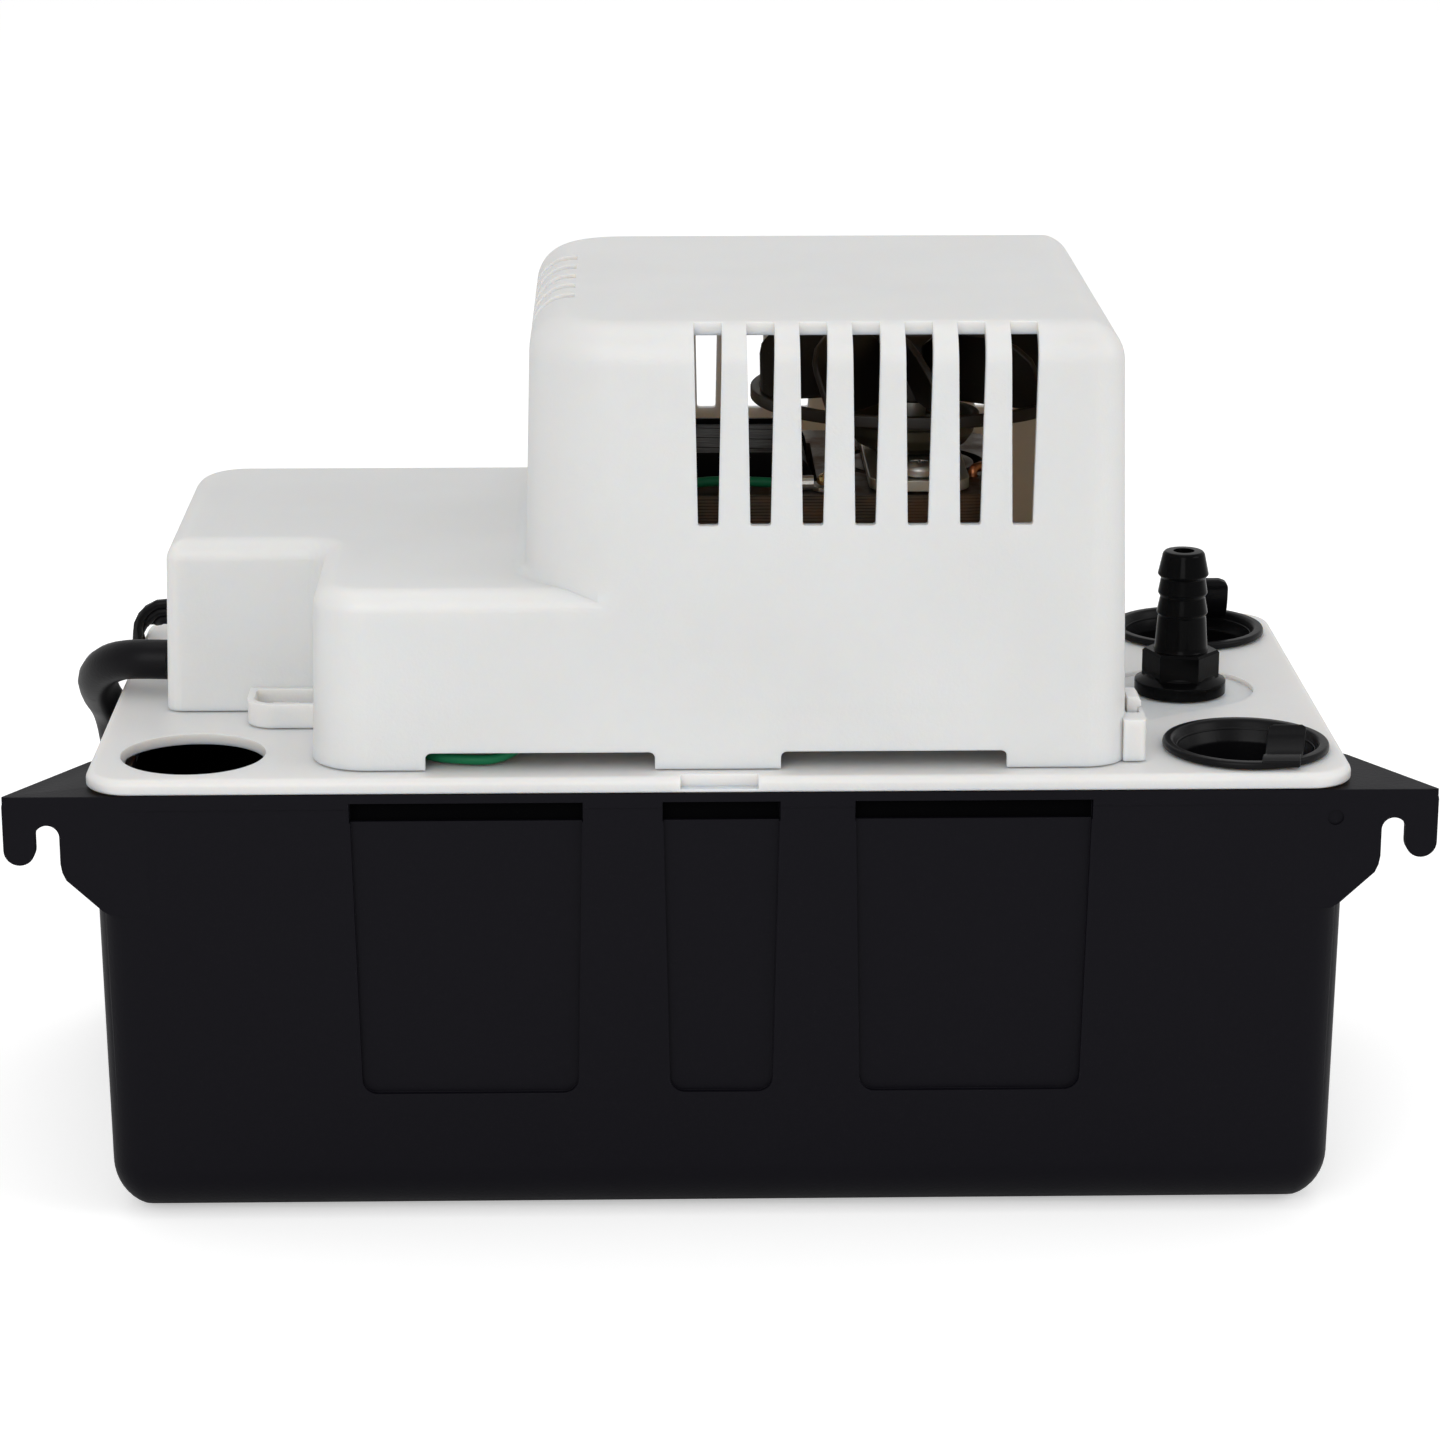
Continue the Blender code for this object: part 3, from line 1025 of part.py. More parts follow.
def make_switches():
    x0, x1, y0, y1, low, high = SWITCH_BOX
    middle = 0.5 * (low + high)
    hinge_x, hinge_y = LEVER_PIVOT
    body = switch_body("pump_switch", low, high)
    for name, z in (("low", low + 0.4), ("high", high - 2.0)):
        join(body, block(f"switch_lug_{name}", x1 - 2, hinge_x + 1.9, hinge_y - 1.8, hinge_y + 1.8, z, z + 1.6))
    join(body, rod("switch_pin", "XY", LEVER_PIVOT, 0.8, low + 1.0, high - 1.0, steps=14))
    cut(
        body,
        block("pump_switch_relief", x1 - 1.4, x1 + 0.1, hinge_y - 2.4, hinge_y + 2.4, low + 2.0, high - 2.0)
    )

    reach = FINGER_Y + 2.0 - hinge_y
    touch = PIVOT_X - 4.0 - 2 * FIT - 0.5
    slope = (touch - hinge_x) / reach
    side = hypot(1.0, slope)
    half = 0.5 * side
    strip = [(hinge_x - half, hinge_y), (hinge_x + half, hinge_y)]
    strip += [(touch + half, hinge_y + reach), (touch - half, hinge_y + reach)]
    lever = rod(
        "pump_switch_lever", "XY", LEVER_PIVOT, 1.8, middle - 2.5, middle + 2.0, finish("steel"), steps=20
    )
    join(lever, prism("switch_lever_strip", strip, "XY", middle - 2.2, middle + 1.7))
    cut(lever, rod("switch_lever_bore", "XY", LEVER_PIVOT, 0.8 + FIT, low, high, steps=14))
    put_origin(lever, (*LEVER_PIVOT, middle))

    button_tip = hinge_x + slope * (BUTTON_Y - hinge_y - 1.6) - half - FIT
    well = rod("pump_switch_well", "YZ", (BUTTON_Y, middle), 1.6 + FIT, x1 - 4.5, x1 + 2, steps=20)
    cut(body, well)
    button = rod(
        "pump_switch_button", "YZ", (BUTTON_Y, middle), 1.6, x1 - 1.6, button_tip, finish("button"), steps=20
    )
    put_origin(button, (x1, BUTTON_Y, middle))

    safety_low = high + SWITCH_GAP
    safety = switch_body("safety_switch", safety_low, safety_low + high - low)
    safety_z = min(FINGER_TOP - 4.0, safety_low + 3.0)
    cut(safety, rod("safety_switch_well", "YZ", (FINGER_Y, safety_z), 1.6 + FIT, x1 - 5.5, x1 + 2, steps=20))
    button = rod(
        "safety_switch_button", "YZ", (FINGER_Y, safety_z), 1.6, x1 - 2.6, x1 + 3.0, finish("button"), steps=24
    )
    put_origin(button, (x1, FINGER_Y, safety_z))
    for i, centre in enumerate(SWITCH_SCREWS):
        head = safety_low + high - low + FIT
        screw(f"switch_screw_{i + 1}", centre, head, 1.2, DECK_TOP - 1.5, 2.4, 1.6)


# ---------------------------------------------------------------- inlet plugs

def ribbon(centreline, thick):
    """The outline of a strip of even thickness that follows a flat centreline."""
    left, right = [], []
    for i, place in enumerate(centreline):
        ahead = (centreline[min(i + 1, len(centreline) - 1)] - centreline[max(i - 1, 0)]).normalized()
        aside = Vector((-ahead[1], ahead[0], 0.0)) * 0.5 * thick
        left.append(place + aside)
        right.append(place - aside)
    return [(point[0], point[1]) for point in left + right[::-1]]


def make_plug(name, stops, strap_left, strap_right):
    """A cup that drops into an inlet hole, with a pull strap growing from its rim. stops run in Y and Z."""
    x, y = PLUGGED[name]
    rim = DECK_TOP + FIT
    outer = INLET_RADIUS - 0.8
    inner = outer - PLUG_WALL
    cup = [(0.0, rim - 11.6), (outer - 1.0, rim - 11.6), (outer, rim - 10.4), (outer, rim), (PLUG_RIM, rim)]
    cup += [(PLUG_RIM, rim + 1.1), (PLUG_RIM - 0.5, rim + 1.7), (PLUG_RIM - 2.4, rim + 1.7), (inner, rim - 0.2)]
    cup += [(inner, rim - 10.4), (0.0, rim - 10.4)]
    plug = turned(name, cup, (x, y), finish("plug"), bored=True)
    path = smooth_route([(a, b, 0.0) for a, b in stops], 2.0)
    join(plug, prism(f"{name}_strap", ribbon(path, 1.5), "YZ", x + strap_left, x + strap_right, smooth=True))
    put_origin(plug, (x, y, rim))
    return plug


def make_plugs():
    rim = DECK_TOP + FIT
    y = PLUGGED["inlet_plug_front"][1]
    root = y - 16.0
    front = [(root + 1.0, rim + 0.6), (root + 0.6, rim + 1.6), (root + 1.8, rim + 2.5), (root + 4.5, rim + 2.2)]
    front += [(root + 9.0, rim + 0.8), (root + 13.5, rim + 0.5), (root + 17.5, rim + 1.3)]
    front += [(root + 21.0, rim + 3.4)]
    make_plug("inlet_plug_front", front, 2.6, 11.1)
    y = PLUGGED["inlet_plug_rear"][1]
    root = y + 15.6
    rear = [(root - 1.4, rim + 0.4), (root, rim + 1.2), (root + 0.1, rim + 2.6), (root - 2, rim + 3.4)]
    rear += [(root - 9, rim + 2.6), (root - 13.6, rim + 3.4), (root - 16.2, rim + 6.4)]
    rear += [(root - 17.0, rim + 11.6)]
    make_plug("inlet_plug_rear", rear, 0.1, 8.4)


# ---------------------------------------------------------------- cords

def make_strain_relief():
    """A grommet turned about X: a collar inside the cover's wall, a neck through it and a tapered nose."""
    wall = COVER_LOW[4][0]
    bore = 0.5 * CORD_DIAMETER + CORD_SEAT
    neck = bore + RELIEF_WALL
    inside = wall + COVER_WALL + 2 * FIT
    profile = [(neck + 0.7, wall + 8.5), (neck + 0.7, inside), (neck, inside), (neck, wall - 1.5)]
    profile += [(neck - 0.3, wall - 2.0), (neck - 0.55, wall - 7.5), (bore, wall - 7.5), (bore, wall + 8.5)]
    relief = turned("strain_relief", profile, (0.0, 0.0), finish("rubber"), bored=True, steps=14)
    relief.data.transform(Matrix.Rotation(radians(90), 4, "Y"))
    relief.data.transform(Matrix.Translation(Vector((0.0, 0.0, CORD_Z)) * MM))
    return relief


def make_plug_end():
    """The moulded mains plug lying behind the tank, its three prongs pointing along +X."""
    rings = []
    for x, half_y, low, high, corner in (
        (40.0, 5.0, 8.2, 18.2, 4.0), (52.0, 5.6, 7.6, 18.8, 4.0), (56.0, 10.5, 2.6, 23.4, 6.0),
        (60.0, 12.6, 0.7, 25.6, 7.0), (80.0, 13.0, 0.4, 26.0, 7.0), (84.0, 12.4, 1.0, 25.4, 7.0),
    ):
        outline = rounded(rectangle(-half_y, half_y, low, high), [corner] * 4)
        rings.append([(x, PLUG_Y + y, z) for y, z in outline])
    body = lofted("mains_plug", rings, finish("cord"))
    for name, side in (("line", -1), ("neutral", 1)):
        y = PLUG_Y + side * 6.35
        blade = block(f"prong_{name}", 79.0, 101.0, y - 0.75, y + 0.75, 14.9, 21.2, finish("brass"))
        step = blade.modifiers.new("tip", "BEVEL")
        step.width = 0.4 * MM
        step.segments = 2
        cut(body, block(f"prong_{name}_pocket", 78.7, 90.0, y - 1.05, y + 1.05, 14.6, 21.5))
    rod("prong_ground", "YZ", (PLUG_Y, 6.1), 2.4, 79.0, 104.0, finish("brass"), steps=20)
    cut(body, rod("prong_ground_pocket", "YZ", (PLUG_Y, 6.1), 2.4 + FIT, 78.7, 90.0, steps=20))


def make_cords():
    wall = COVER_LOW[4][0]
    radius = 0.5 * CORD_DIAMETER
    make_strain_relief()
    floor = radius + 0.2
    beside = COIL_RADIUS + 8.0 + radius + FIT
    cx, cy = COIL_CENTRE
    route = [(wall + 9.5, 0, CORD_Z), (wall, 0, CORD_Z), (wall - 8.3, 0, CORD_Z), (wall - 13.8, 2.6, 98.6)]
    route += [(wall - 16.9, 6, 95), (wall - 17.1, 11, 90), (wall - 15.5, 17, 84.5), (wall - 13.7, 24, 70)]
    route += [(wall - 12.3, 30, 45), (wall - 12.5, 35, 22), (wall - 13.1, 42, 8)]
    route += [(wall - 13.4, 50, floor + 0.3)]
    route += [(wall - 14.1, 62, floor), (wall - 11.1, 78, floor), (wall + 0.9, 100, floor)]
    route += [(cx - beside - 0.6, cy - 9, floor), (cx - beside, cy, floor)]
    cord("power_cord", route, CORD_DIAMETER, finish("cord"), spacing=9.0)
    ring = []
    height = 3 * CORD_DIAMETER - 1.6
    for radius_at, z in rounded(
        rectangle(COIL_RADIUS - 8.0, COIL_RADIUS + 8.0, 0.3, 0.3 + height), [3.6] * 4, arc=2
    ):
        ring.append((radius_at, z))
    turned("power_cord_coil", ring, COIL_CENTRE, finish("cord"), bored=True, steps=28)
    tail = [(cx + beside, cy, floor), (cx + beside + 0.8, cy - 8, floor + 0.6)]
    tail += [(cx + beside + 8, cy - 17, floor + 3), (30.0, PLUG_Y + 0.6, 12.4), (34.0, PLUG_Y, 13.2)]
    tail += [(39.5, PLUG_Y, 13.2)]
    cord("power_cord_tail", tail, CORD_DIAMETER, finish("cord"), spacing=6.0)
    make_plug_end()

    floor = 0.5 * LEAD_DIAMETER + 0.3
    lead = [(-96.0, 36.0, 109.5), (-100.5, 37.2, 106.0), (-104.0, 39.7, 100.6), (-108.0, 40, CORD_Z)]
    lead += [(wall, 40, CORD_Z), (wall - 3, 40, CORD_Z), (wall - 9, 40.6, 97.8), (wall - 12.6, 42, 92)]
    lead += [(wall - 14, 43, 82), (wall - 12.5, 44, 60), (wall - 9.7, 46, 25), (wall - 8.4, 50, 7)]
    lead += [(wall - 6.2, 56, floor + 0.4), (wall + 0.9, 63.5, floor), (-96, 66.3, floor), (-40, 66, floor)]
    lead += [(40, 66.4, floor), (100, 67, floor), (128, 78, floor)]
    cord("alarm_lead", lead, LEAD_DIAMETER, finish("lead"), spacing=9.0)

    x, y = GROUND
    high = STACK_TOP + FIT + 1.3
    ground = [(-101.5, -2.6, 99.0), (-90, -6.5, 97.2), (-79, -9, 96), (-72, -16, 95.4), (-65, -36, 95)]
    ground += [(-55, -49, 95), (-40, -50, 97)]
    ground += [(-31, -46, 108), (-25, -38, 126), (-16, -30, 139), (-4, -27, high + 0.2)]
    ground += [(x - 10, y - 0.6, high), (x - 6.5, y - 0.6, high)]
    cord("ground_wire", ground, 2.0, finish("green"), spacing=9.0)
    neutral = [(-101.5, 0.5, 100.0), (-90, -1.5, 97.5), (-72, -4, 96), (-52, -6, 96), (-40, -4.5, 99)]
    neutral += [(-32, -4.5, 110), (-26, -6, 124), (-22.5, -6, 130.6), (-19.4, -6, 131)]
    cord("motor_lead_neutral", neutral, 2.2, finish("white_wire"), spacing=7.0)
    switched = [(-93, 35.6, 100), (-84, 37, 98), (-66, 36, 97), (-50, 30, 98), (-40, 20, 103), (-32, 10, 115)]
    switched += [(-26, 5, 127), (-22.5, 3, 130.6), (-19.4, 3, 131)]
    cord("motor_lead_switched", switched, 2.2, finish("lead"), spacing=7.0)


def main():
    clear_scene()
    make_tank()
    make_deck()
    make_cover()
    make_motor()
    make_pump()
    make_discharge()
    make_float()
    make_switches()
    make_plugs()
    make_cords()


main()
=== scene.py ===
from math import atan2, cos, pi, radians, sin, tan

import bmesh
import bpy
from mathutils import Matrix, Vector


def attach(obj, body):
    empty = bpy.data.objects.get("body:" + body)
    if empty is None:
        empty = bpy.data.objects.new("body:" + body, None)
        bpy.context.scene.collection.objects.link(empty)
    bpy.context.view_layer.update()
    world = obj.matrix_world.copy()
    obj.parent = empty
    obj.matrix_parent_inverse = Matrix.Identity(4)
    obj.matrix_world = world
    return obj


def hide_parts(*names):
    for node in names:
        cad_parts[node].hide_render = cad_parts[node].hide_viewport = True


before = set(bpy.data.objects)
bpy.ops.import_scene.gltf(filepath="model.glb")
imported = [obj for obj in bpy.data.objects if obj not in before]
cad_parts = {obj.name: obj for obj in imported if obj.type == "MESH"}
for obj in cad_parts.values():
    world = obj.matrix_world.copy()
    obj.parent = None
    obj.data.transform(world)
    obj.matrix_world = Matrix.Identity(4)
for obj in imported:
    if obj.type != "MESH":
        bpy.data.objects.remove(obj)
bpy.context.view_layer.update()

bl_info = {
    "name": "Condensate Pump",
    "version": (1, 0, 0),
    "blender": (4, 5, 0),
    "location": "3D Viewport > Sidebar > Pump",
    "description": "Builds a tank-type condensate pump with its motor, fittings and cord on its solids",
    "category": "Object",
}

MM = 0.001
BASE = "pump_body"


# ---------------------------------------------------------------- settings

def length(name, description, default, **more):
    return bpy.props.FloatProperty(name=name, description=description, default=default, unit="LENGTH", **more)


def number(name, description, default):
    return bpy.props.IntProperty(name=name, description=description, default=default, min=1)


def colour(name, description, default):
    return bpy.props.FloatVectorProperty(
        name=name, description=description, default=default, subtype="COLOR", size=3, min=0.0, max=1.0
    )


class PumpSizes(bpy.types.PropertyGroup):
    """Sizes a user would change."""

    cover_wall: length("Cover wall", "Thickness of the motor cover's moulding", 0.0021)
    louvre_pitch: length("Louvre pitch", "Spacing of the slots along the cover's front and back", 0.0101)
    louvre_width: length("Louvre width", "Width of a slot half way up", 0.0048)
    louvre_count: number("Louvres", "Slots in the front and in the back", 7)
    tank_wall: length("Tank wall", "Thickness of the tank's moulding", 0.0026)
    plate_bevel: length("Plate edge", "Rounding of the moulded edges", 0.0004)
    fan_blades: number("Fan blades", "Blades of the cooling fan", 8)
    cord_width: length("Cord diameter", "Outside diameter of the mains cord", 0.0083)
    cord_length: length("Cord length", "Length of the mains cord, from the cover to its plug", 1.87)
    coil_turns: bpy.props.FloatProperty(
        name="Coil turns", description="Turns of spare cord in the coil", default=5.5
    )
    lead_width: length("Alarm lead width", "Width of the flat two-wire lead", 0.0054)
    lead_thick: length("Alarm lead thickness", "Thickness of the flat two-wire lead", 0.0022)


class PumpColours(bpy.types.PropertyGroup):
    """Colours a user would change."""

    cover: colour("Cover", "White of the motor cover", (0.765, 0.760, 0.750))
    deck: colour("Deck", "White of the deck", (0.765, 0.755, 0.745))
    tank: colour("Tank", "Black of the tank", (0.0038, 0.0034, 0.0058))
    fitting: colour("Fitting", "Black of the discharge fitting", (0.0020, 0.0020, 0.0022))
    plug: colour("Inlet plugs", "Black of the inlet plugs", (0.0035, 0.0034, 0.0040))
    cord: colour("Cord", "Black of the mains cord", (0.0042, 0.0038, 0.0050))
    fan: colour("Fan", "Brown of the cooling fan", (0.008, 0.0055, 0.004))
    ground: colour("Ground wire", "Green of the ground wire", (0.012, 0.170, 0.070))
    floor: colour("Floor", "Floor and backdrop", (0.86, 0.86, 0.86))


def sizes():
    return bpy.context.scene.pump_sizes


def colours():
    return bpy.context.scene.pump_colours


# ---------------------------------------------------------------- materials

class Value:
    """A shader socket that takes part in arithmetic."""

    def __init__(self, finish, socket):
        self.finish = finish
        self.socket = socket

    def _maths(self, operation, *operands):
        return self.finish.node("ShaderNodeMath", {"operation": operation}, dict(enumerate(operands)))

    def __add__(self, other):
        return self._maths("ADD", self, other)

    __radd__ = __add__

    def __mul__(self, other):
        return self._maths("MULTIPLY", self, other)

    __rmul__ = __mul__

    def over(self, edge, width):
        """0 below the edge and 1 above it, with a soft step of the given width."""
        settings = {"interpolation_type": "SMOOTHSTEP"}
        values = {0: self, 1: edge - width, 2: edge + width, 3: 0.0, 4: 1.0}
        return self.finish.node("ShaderNodeMapRange", settings, values)


class Finish:
    """A Principled material under construction."""

    def __init__(self, name, base, roughness, metallic=0.0, **uniform):
        self.material = bpy.data.materials.new(name)
        self.material.use_nodes = True
        self.material.diffuse_color = (*base, 1.0)
        self.tree = self.material.node_tree
        self.shader = self.tree.nodes["Principled BSDF"]
        self.set("Base Color", (*base, 1.0))
        self.set("Roughness", roughness)
        self.set("Metallic", metallic)
        for socket, value in uniform.items():
            self.set(socket.replace("_", " "), value)

    def node(self, kind, settings, values, output=0):
        """A node of that kind: settings first, then its inputs by name or number."""
        made = self.tree.nodes.new(kind)
        for key, value in settings.items():
            if key == "stops":
                ramp = made.color_ramp.elements
                while len(ramp) < len(value):
                    ramp.new(0.5)
                for element, (place, shade) in zip(ramp, value):
                    element.position = place
                    element.color = (*shade, 1.0) if isinstance(shade, tuple) else (shade, shade, shade, 1.0)
            else:
                setattr(made, key, value)
        for key, value in values.items():
            self._feed(made.inputs[key], value)
        return Value(self, made.outputs[output])

    def _feed(self, socket, value):
        if isinstance(value, Value):
            self.tree.links.new(value.socket, socket)
        else:
            socket.default_value = value

    def set(self, name, value):
        self._feed(self.shader.inputs[name], value)

    def place(self, scale=(1.0, 1.0, 1.0), turn=(0.0, 0.0, 0.0)):
        """Object coordinates, scaled and turned."""
        here = self.node("ShaderNodeTexCoord", {}, {}, "Object")
        return self.node("ShaderNodeMapping", {}, {"Vector": here, "Scale": scale, "Rotation": turn})

    def axis(self, letter):
        here = self.node("ShaderNodeTexCoord", {}, {}, "Object")
        return self.node("ShaderNodeSeparateXYZ", {}, {"Vector": here}, letter)

    def noise(self, scale, detail=2.0, roughness=0.5, stretch=(1.0, 1.0, 1.0)):
        values = {"Vector": self.place(stretch), "Scale": scale, "Detail": detail, "Roughness": roughness}
        return self.node("ShaderNodeTexNoise", {}, values, "Fac")

    def blend(self, share, first, second):
        """Mixes two colours."""
        values = {"Factor": share}
        for socket, shade in ((6, first), (7, second)):
            values[socket] = shade if isinstance(shade, Value) else (*shade, 1.0)
        return self.node("ShaderNodeMix", {"data_type": "RGBA"}, values, 2)

    def bump(self, height, distance, strength=1.0):
        values = {"Height": height, "Distance": distance, "Strength": strength}
        self.set("Normal", self.node("ShaderNodeBump", {}, values, "Normal"))


SHEET = 0.00064  # one lamination, in metres
TAPE_PITCH = 0.0095  # one turn of the coil's tape, in metres


def tint(shade, factor):
    return tuple(min(1.0, part * factor) for part in shade)


def moulded(name, shade, roughness, grain, depth, dust=0.0, **uniform):
    """Moulded plastic: fine mould grain, uneven gloss, faint cloudiness and, where asked, dust."""
    made = Finish(name, shade, roughness, **uniform)
    cloud = made.noise(22.0, 3.0)
    fine = made.noise(grain, 3.0, 0.6)
    slow = made.noise(60.0, 2.0)
    base = made.blend(cloud, tint(shade, 0.93), tint(shade, 1.06))
    if dust:
        specks = made.noise(900.0, 2.0).over(0.72, 0.05)
        base = made.blend(specks * dust, base, (0.30, 0.30, 0.30))
    made.set("Base Color", base)
    made.set("Roughness", roughness - 0.05 + slow * 0.10)
    made.bump(fine + slow * 0.4, depth)
    return made.material


def metal(name, shade, roughness, streak=(1.0, 1.0, 1.0), stain=0.25):
    """Plated or rolled metal with fine streaks and dull patches."""
    made = Finish(name, shade, roughness, 1.0)
    lines = made.noise(700.0, 3.0, 0.6, streak)
    patch = made.noise(140.0, 3.0)
    made.set("Base Color", made.blend(patch * stain, shade, tint(shade, 0.62)))
    made.set("Roughness", roughness - 0.08 + lines * 0.16 + patch * 0.08)
    made.bump(lines, 0.00003)
    return made.material


def laminated(name, shade):
    """Punched steel sheets stacked along Z, with oil stain and rust at the edges."""
    made = Finish(name, shade, 0.48, 0.9)
    sheets = made.axis("Z") * (1.0 / SHEET)
    groove = made.node("ShaderNodeMath", {"operation": "PINGPONG"}, {0: sheets, 1: 0.5}) * 2.0
    edge = groove.over(0.22, 0.16)
    rust = made.noise(90.0, 5.0, 0.65).over(0.56, 0.12)
    steel = made.blend(edge, tint(shade, 0.25), shade)
    made.set("Base Color", made.blend(rust * 0.55, steel, (0.20, 0.105, 0.055)))
    made.set("Roughness", 0.40 + rust * 0.35)
    made.bump(edge, 0.00008)
    return made.material


def taped(name, shade):
    """Insulating tape wound round the coil in overlapping turns, drawn along X and Z."""
    made = Finish(name, shade, 0.42, Specular_IOR_Level=0.08)
    lean = made.axis("Y") + made.axis("X") * 0.12 + made.noise(60.0, 2.0) * 0.0012
    turn = made.node("ShaderNodeMath", {"operation": "FRACT"}, {0: lean * (1.0 / TAPE_PITCH)})
    step = turn.over(0.06, 0.05)
    wrinkle = made.noise(420.0, 3.0, 0.6, (0.4, 1.0, 0.4))
    made.set("Base Color", made.blend(step, tint(shade, 2.4), shade))
    made.set("Roughness", 0.32 + wrinkle * 0.18)
    made.bump(step * 0.6 + turn * 0.5 + wrinkle * 0.5, 0.0004)
    return made.material


def foam(name, shade):
    """Closed-cell float foam with small open pits."""
    made = Finish(name, shade, 0.8)
    values = {"Vector": made.place(), "Scale": 900.0}
    cells = made.node("ShaderNodeTexVoronoi", {"feature": "F1"}, values, "Distance")
    made.set("Base Color", made.blend(cells, shade, tint(shade, 0.7)))
    made.bump(cells, 0.0002)
    return made.material


def jacket(name, shade, roughness):
    """Soft cord jacket: faint drag lines, scuffs and a slow change of gloss."""
    made = Finish(name, shade, roughness, Specular_IOR_Level=0.13)
    scuff = made.noise(260.0, 4.0, 0.7).over(0.66, 0.06)
    slow = made.noise(40.0, 2.0)
    made.set("Base Color", made.blend(scuff * 0.25, tint(shade, 0.95), tint(shade, 2.0)))
    made.set("Roughness", roughness - 0.06 + slow * 0.12 + scuff * 0.08)
    made.bump(made.noise(1500.0, 2.0) + slow, 0.00004)
    return made.material


FINISHES = {}


def finishes():
    """Every material, made once."""
    if FINISHES:
        return FINISHES
    paint = colours()
    glow = {"Subsurface_Weight": 1.0, "Subsurface_Radius": (1.0, 0.80, 0.62), "Subsurface_Scale": 0.0035}
    # Near-black, dull colour for the band under the tank's rim: painted shadow standing in for a deeper
    # recess.
    painted_shade = (0.0012, 0.0012, 0.0015)
    FINISHES.update(
        cover=moulded("cover_white", tuple(paint.cover), 0.40, 1400.0, 0.00004, **glow),
        deck=moulded("deck_white", tuple(paint.deck), 0.42, 1200.0, 0.00004, **glow),
        tank=moulded("tank_black", tuple(paint.tank), 0.42, 1300.0, 0.00005, Specular_IOR_Level=0.10),
        fitting=moulded("nylon_black", tuple(paint.fitting), 0.14, 900.0, 0.00002, Specular_IOR_Level=0.06),
        shadow=moulded("painted_recess_shadow", painted_shade, 0.80, 1300.0, 0.00005, Specular_IOR_Level=0.02),
        plug=moulded("plug_black", tuple(paint.plug), 0.34, 1100.0, 0.00004, Specular_IOR_Level=0.13),
        white=moulded("acetal_white", (0.68, 0.66, 0.60), 0.38, 900.0, 0.00003),
        float=foam("float_grey", (0.30, 0.30, 0.30)),
        steel=metal("zinc_steel", (0.62, 0.62, 0.60), 0.30),
        bracket=metal("bracket_zinc", (0.66, 0.65, 0.60), 0.34, (1.0, 0.1, 1.0), 0.35),
        bearing=metal("bearing_casting", (0.16, 0.145, 0.11), 0.50, (1.0, 1.0, 1.0), 0.6),
        laminations=laminated("stack_laminations", (0.10, 0.085, 0.07)),
        copper=metal("copper", (0.72, 0.30, 0.15), 0.28, (1.0, 1.0, 1.0), 0.4),
        brass=metal("brass", (0.72, 0.53, 0.24), 0.24, (0.1, 1.0, 1.0), 0.2),
        tape=taped("coil_tape", (0.0022, 0.0020, 0.0020)),
        fan=moulded("fan_brown", tuple(paint.fan), 0.42, 800.0, 0.00004, dust=0.08),
        rubber=moulded("rubber_black", (0.013, 0.013, 0.013), 0.62, 1500.0, 0.00006),
        hose=moulded("hose_vinyl", (0.42, 0.44, 0.41), 0.25, 300.0, 0.00003),
        switch=moulded("switch_black", (0.018, 0.018, 0.020), 0.50, 1000.0, 0.00004),
        button=moulded("button_red", (0.38, 0.025, 0.018), 0.38, 900.0, 0.00003),
        cord=jacket("cord_black", tuple(paint.cord), 0.40),
        lead=jacket("lead_black", (0.0050, 0.0048, 0.0055), 0.38),
        green=jacket("wire_green", tuple(paint.ground), 0.36),
        white_wire=jacket("wire_white", (0.62, 0.61, 0.57), 0.40),
    )
    return FINISHES


def paint_node(node, kind):
    """Gives a CAD node its finished material."""
    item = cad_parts[node]
    item.data.materials.clear()
    item.data.materials.append(finishes()[kind])


# ---------------------------------------------------------------- shapes, in millimetres

def rectangle(x0, x1, y0, y1):
    return [(x0, y0), (x1, y0), (x1, y1), (x0, y1)]


def circle(radius, steps=16):
    return [(radius * cos(2 * pi * i / steps), radius * sin(2 * pi * i / steps)) for i in range(steps)]


def rounded(corners, radii, inset=0.0, arc=10):
    """A right-angled outline moved inward by inset, with each corner drawn as an arc."""
    points = []
    for i, corner in enumerate(corners):
        here = Vector(corner)
        before = (here - Vector(corners[i - 1])).normalized()
        after = (Vector(corners[(i + 1) % len(corners)]) - here).normalized()
        turn = before.x * after.y - before.y * after.x
        radius = max(radii[i] - turn * inset, 0.4)
        here = here + inset * Vector((-before.y - after.y, before.x + after.x))
        middle = here - before * radius + after * radius
        for step in range(arc + 1):
            angle = 0.5 * pi * step / arc
            point = middle - after * radius * cos(angle) + before * radius * sin(angle)
            points.append((point.x, point.y))
    return points


def at_height(outline, z):
    return [(x, y, z) for x, y in outline]


def piece(name, points, faces, finish=None, smooth=35.0):
    """A closed mesh object from millimetre points, faces outward, corners sharper than smooth kept crisp."""
    mesh = bpy.data.meshes.new(name)
    mesh.from_pydata([Vector(point) * MM for point in points], [], faces)
    work = bmesh.new()
    work.from_mesh(mesh)
    bmesh.ops.remove_doubles(work, verts=work.verts, dist=1e-7)
    bmesh.ops.recalc_face_normals(work, faces=work.faces)
    work.to_mesh(mesh)
    work.free()
    return dressed(name, mesh, finish, smooth)


def dressed(name, mesh, finish=None, smooth=35.0):
    mesh.shade_smooth()
    mesh.set_sharp_from_angle(angle=radians(smooth))
    made = bpy.data.objects.new(name, mesh)
    bpy.context.scene.collection.objects.link(made)
    if finish:
        mesh.materials.append(finishes()[finish])
    return made


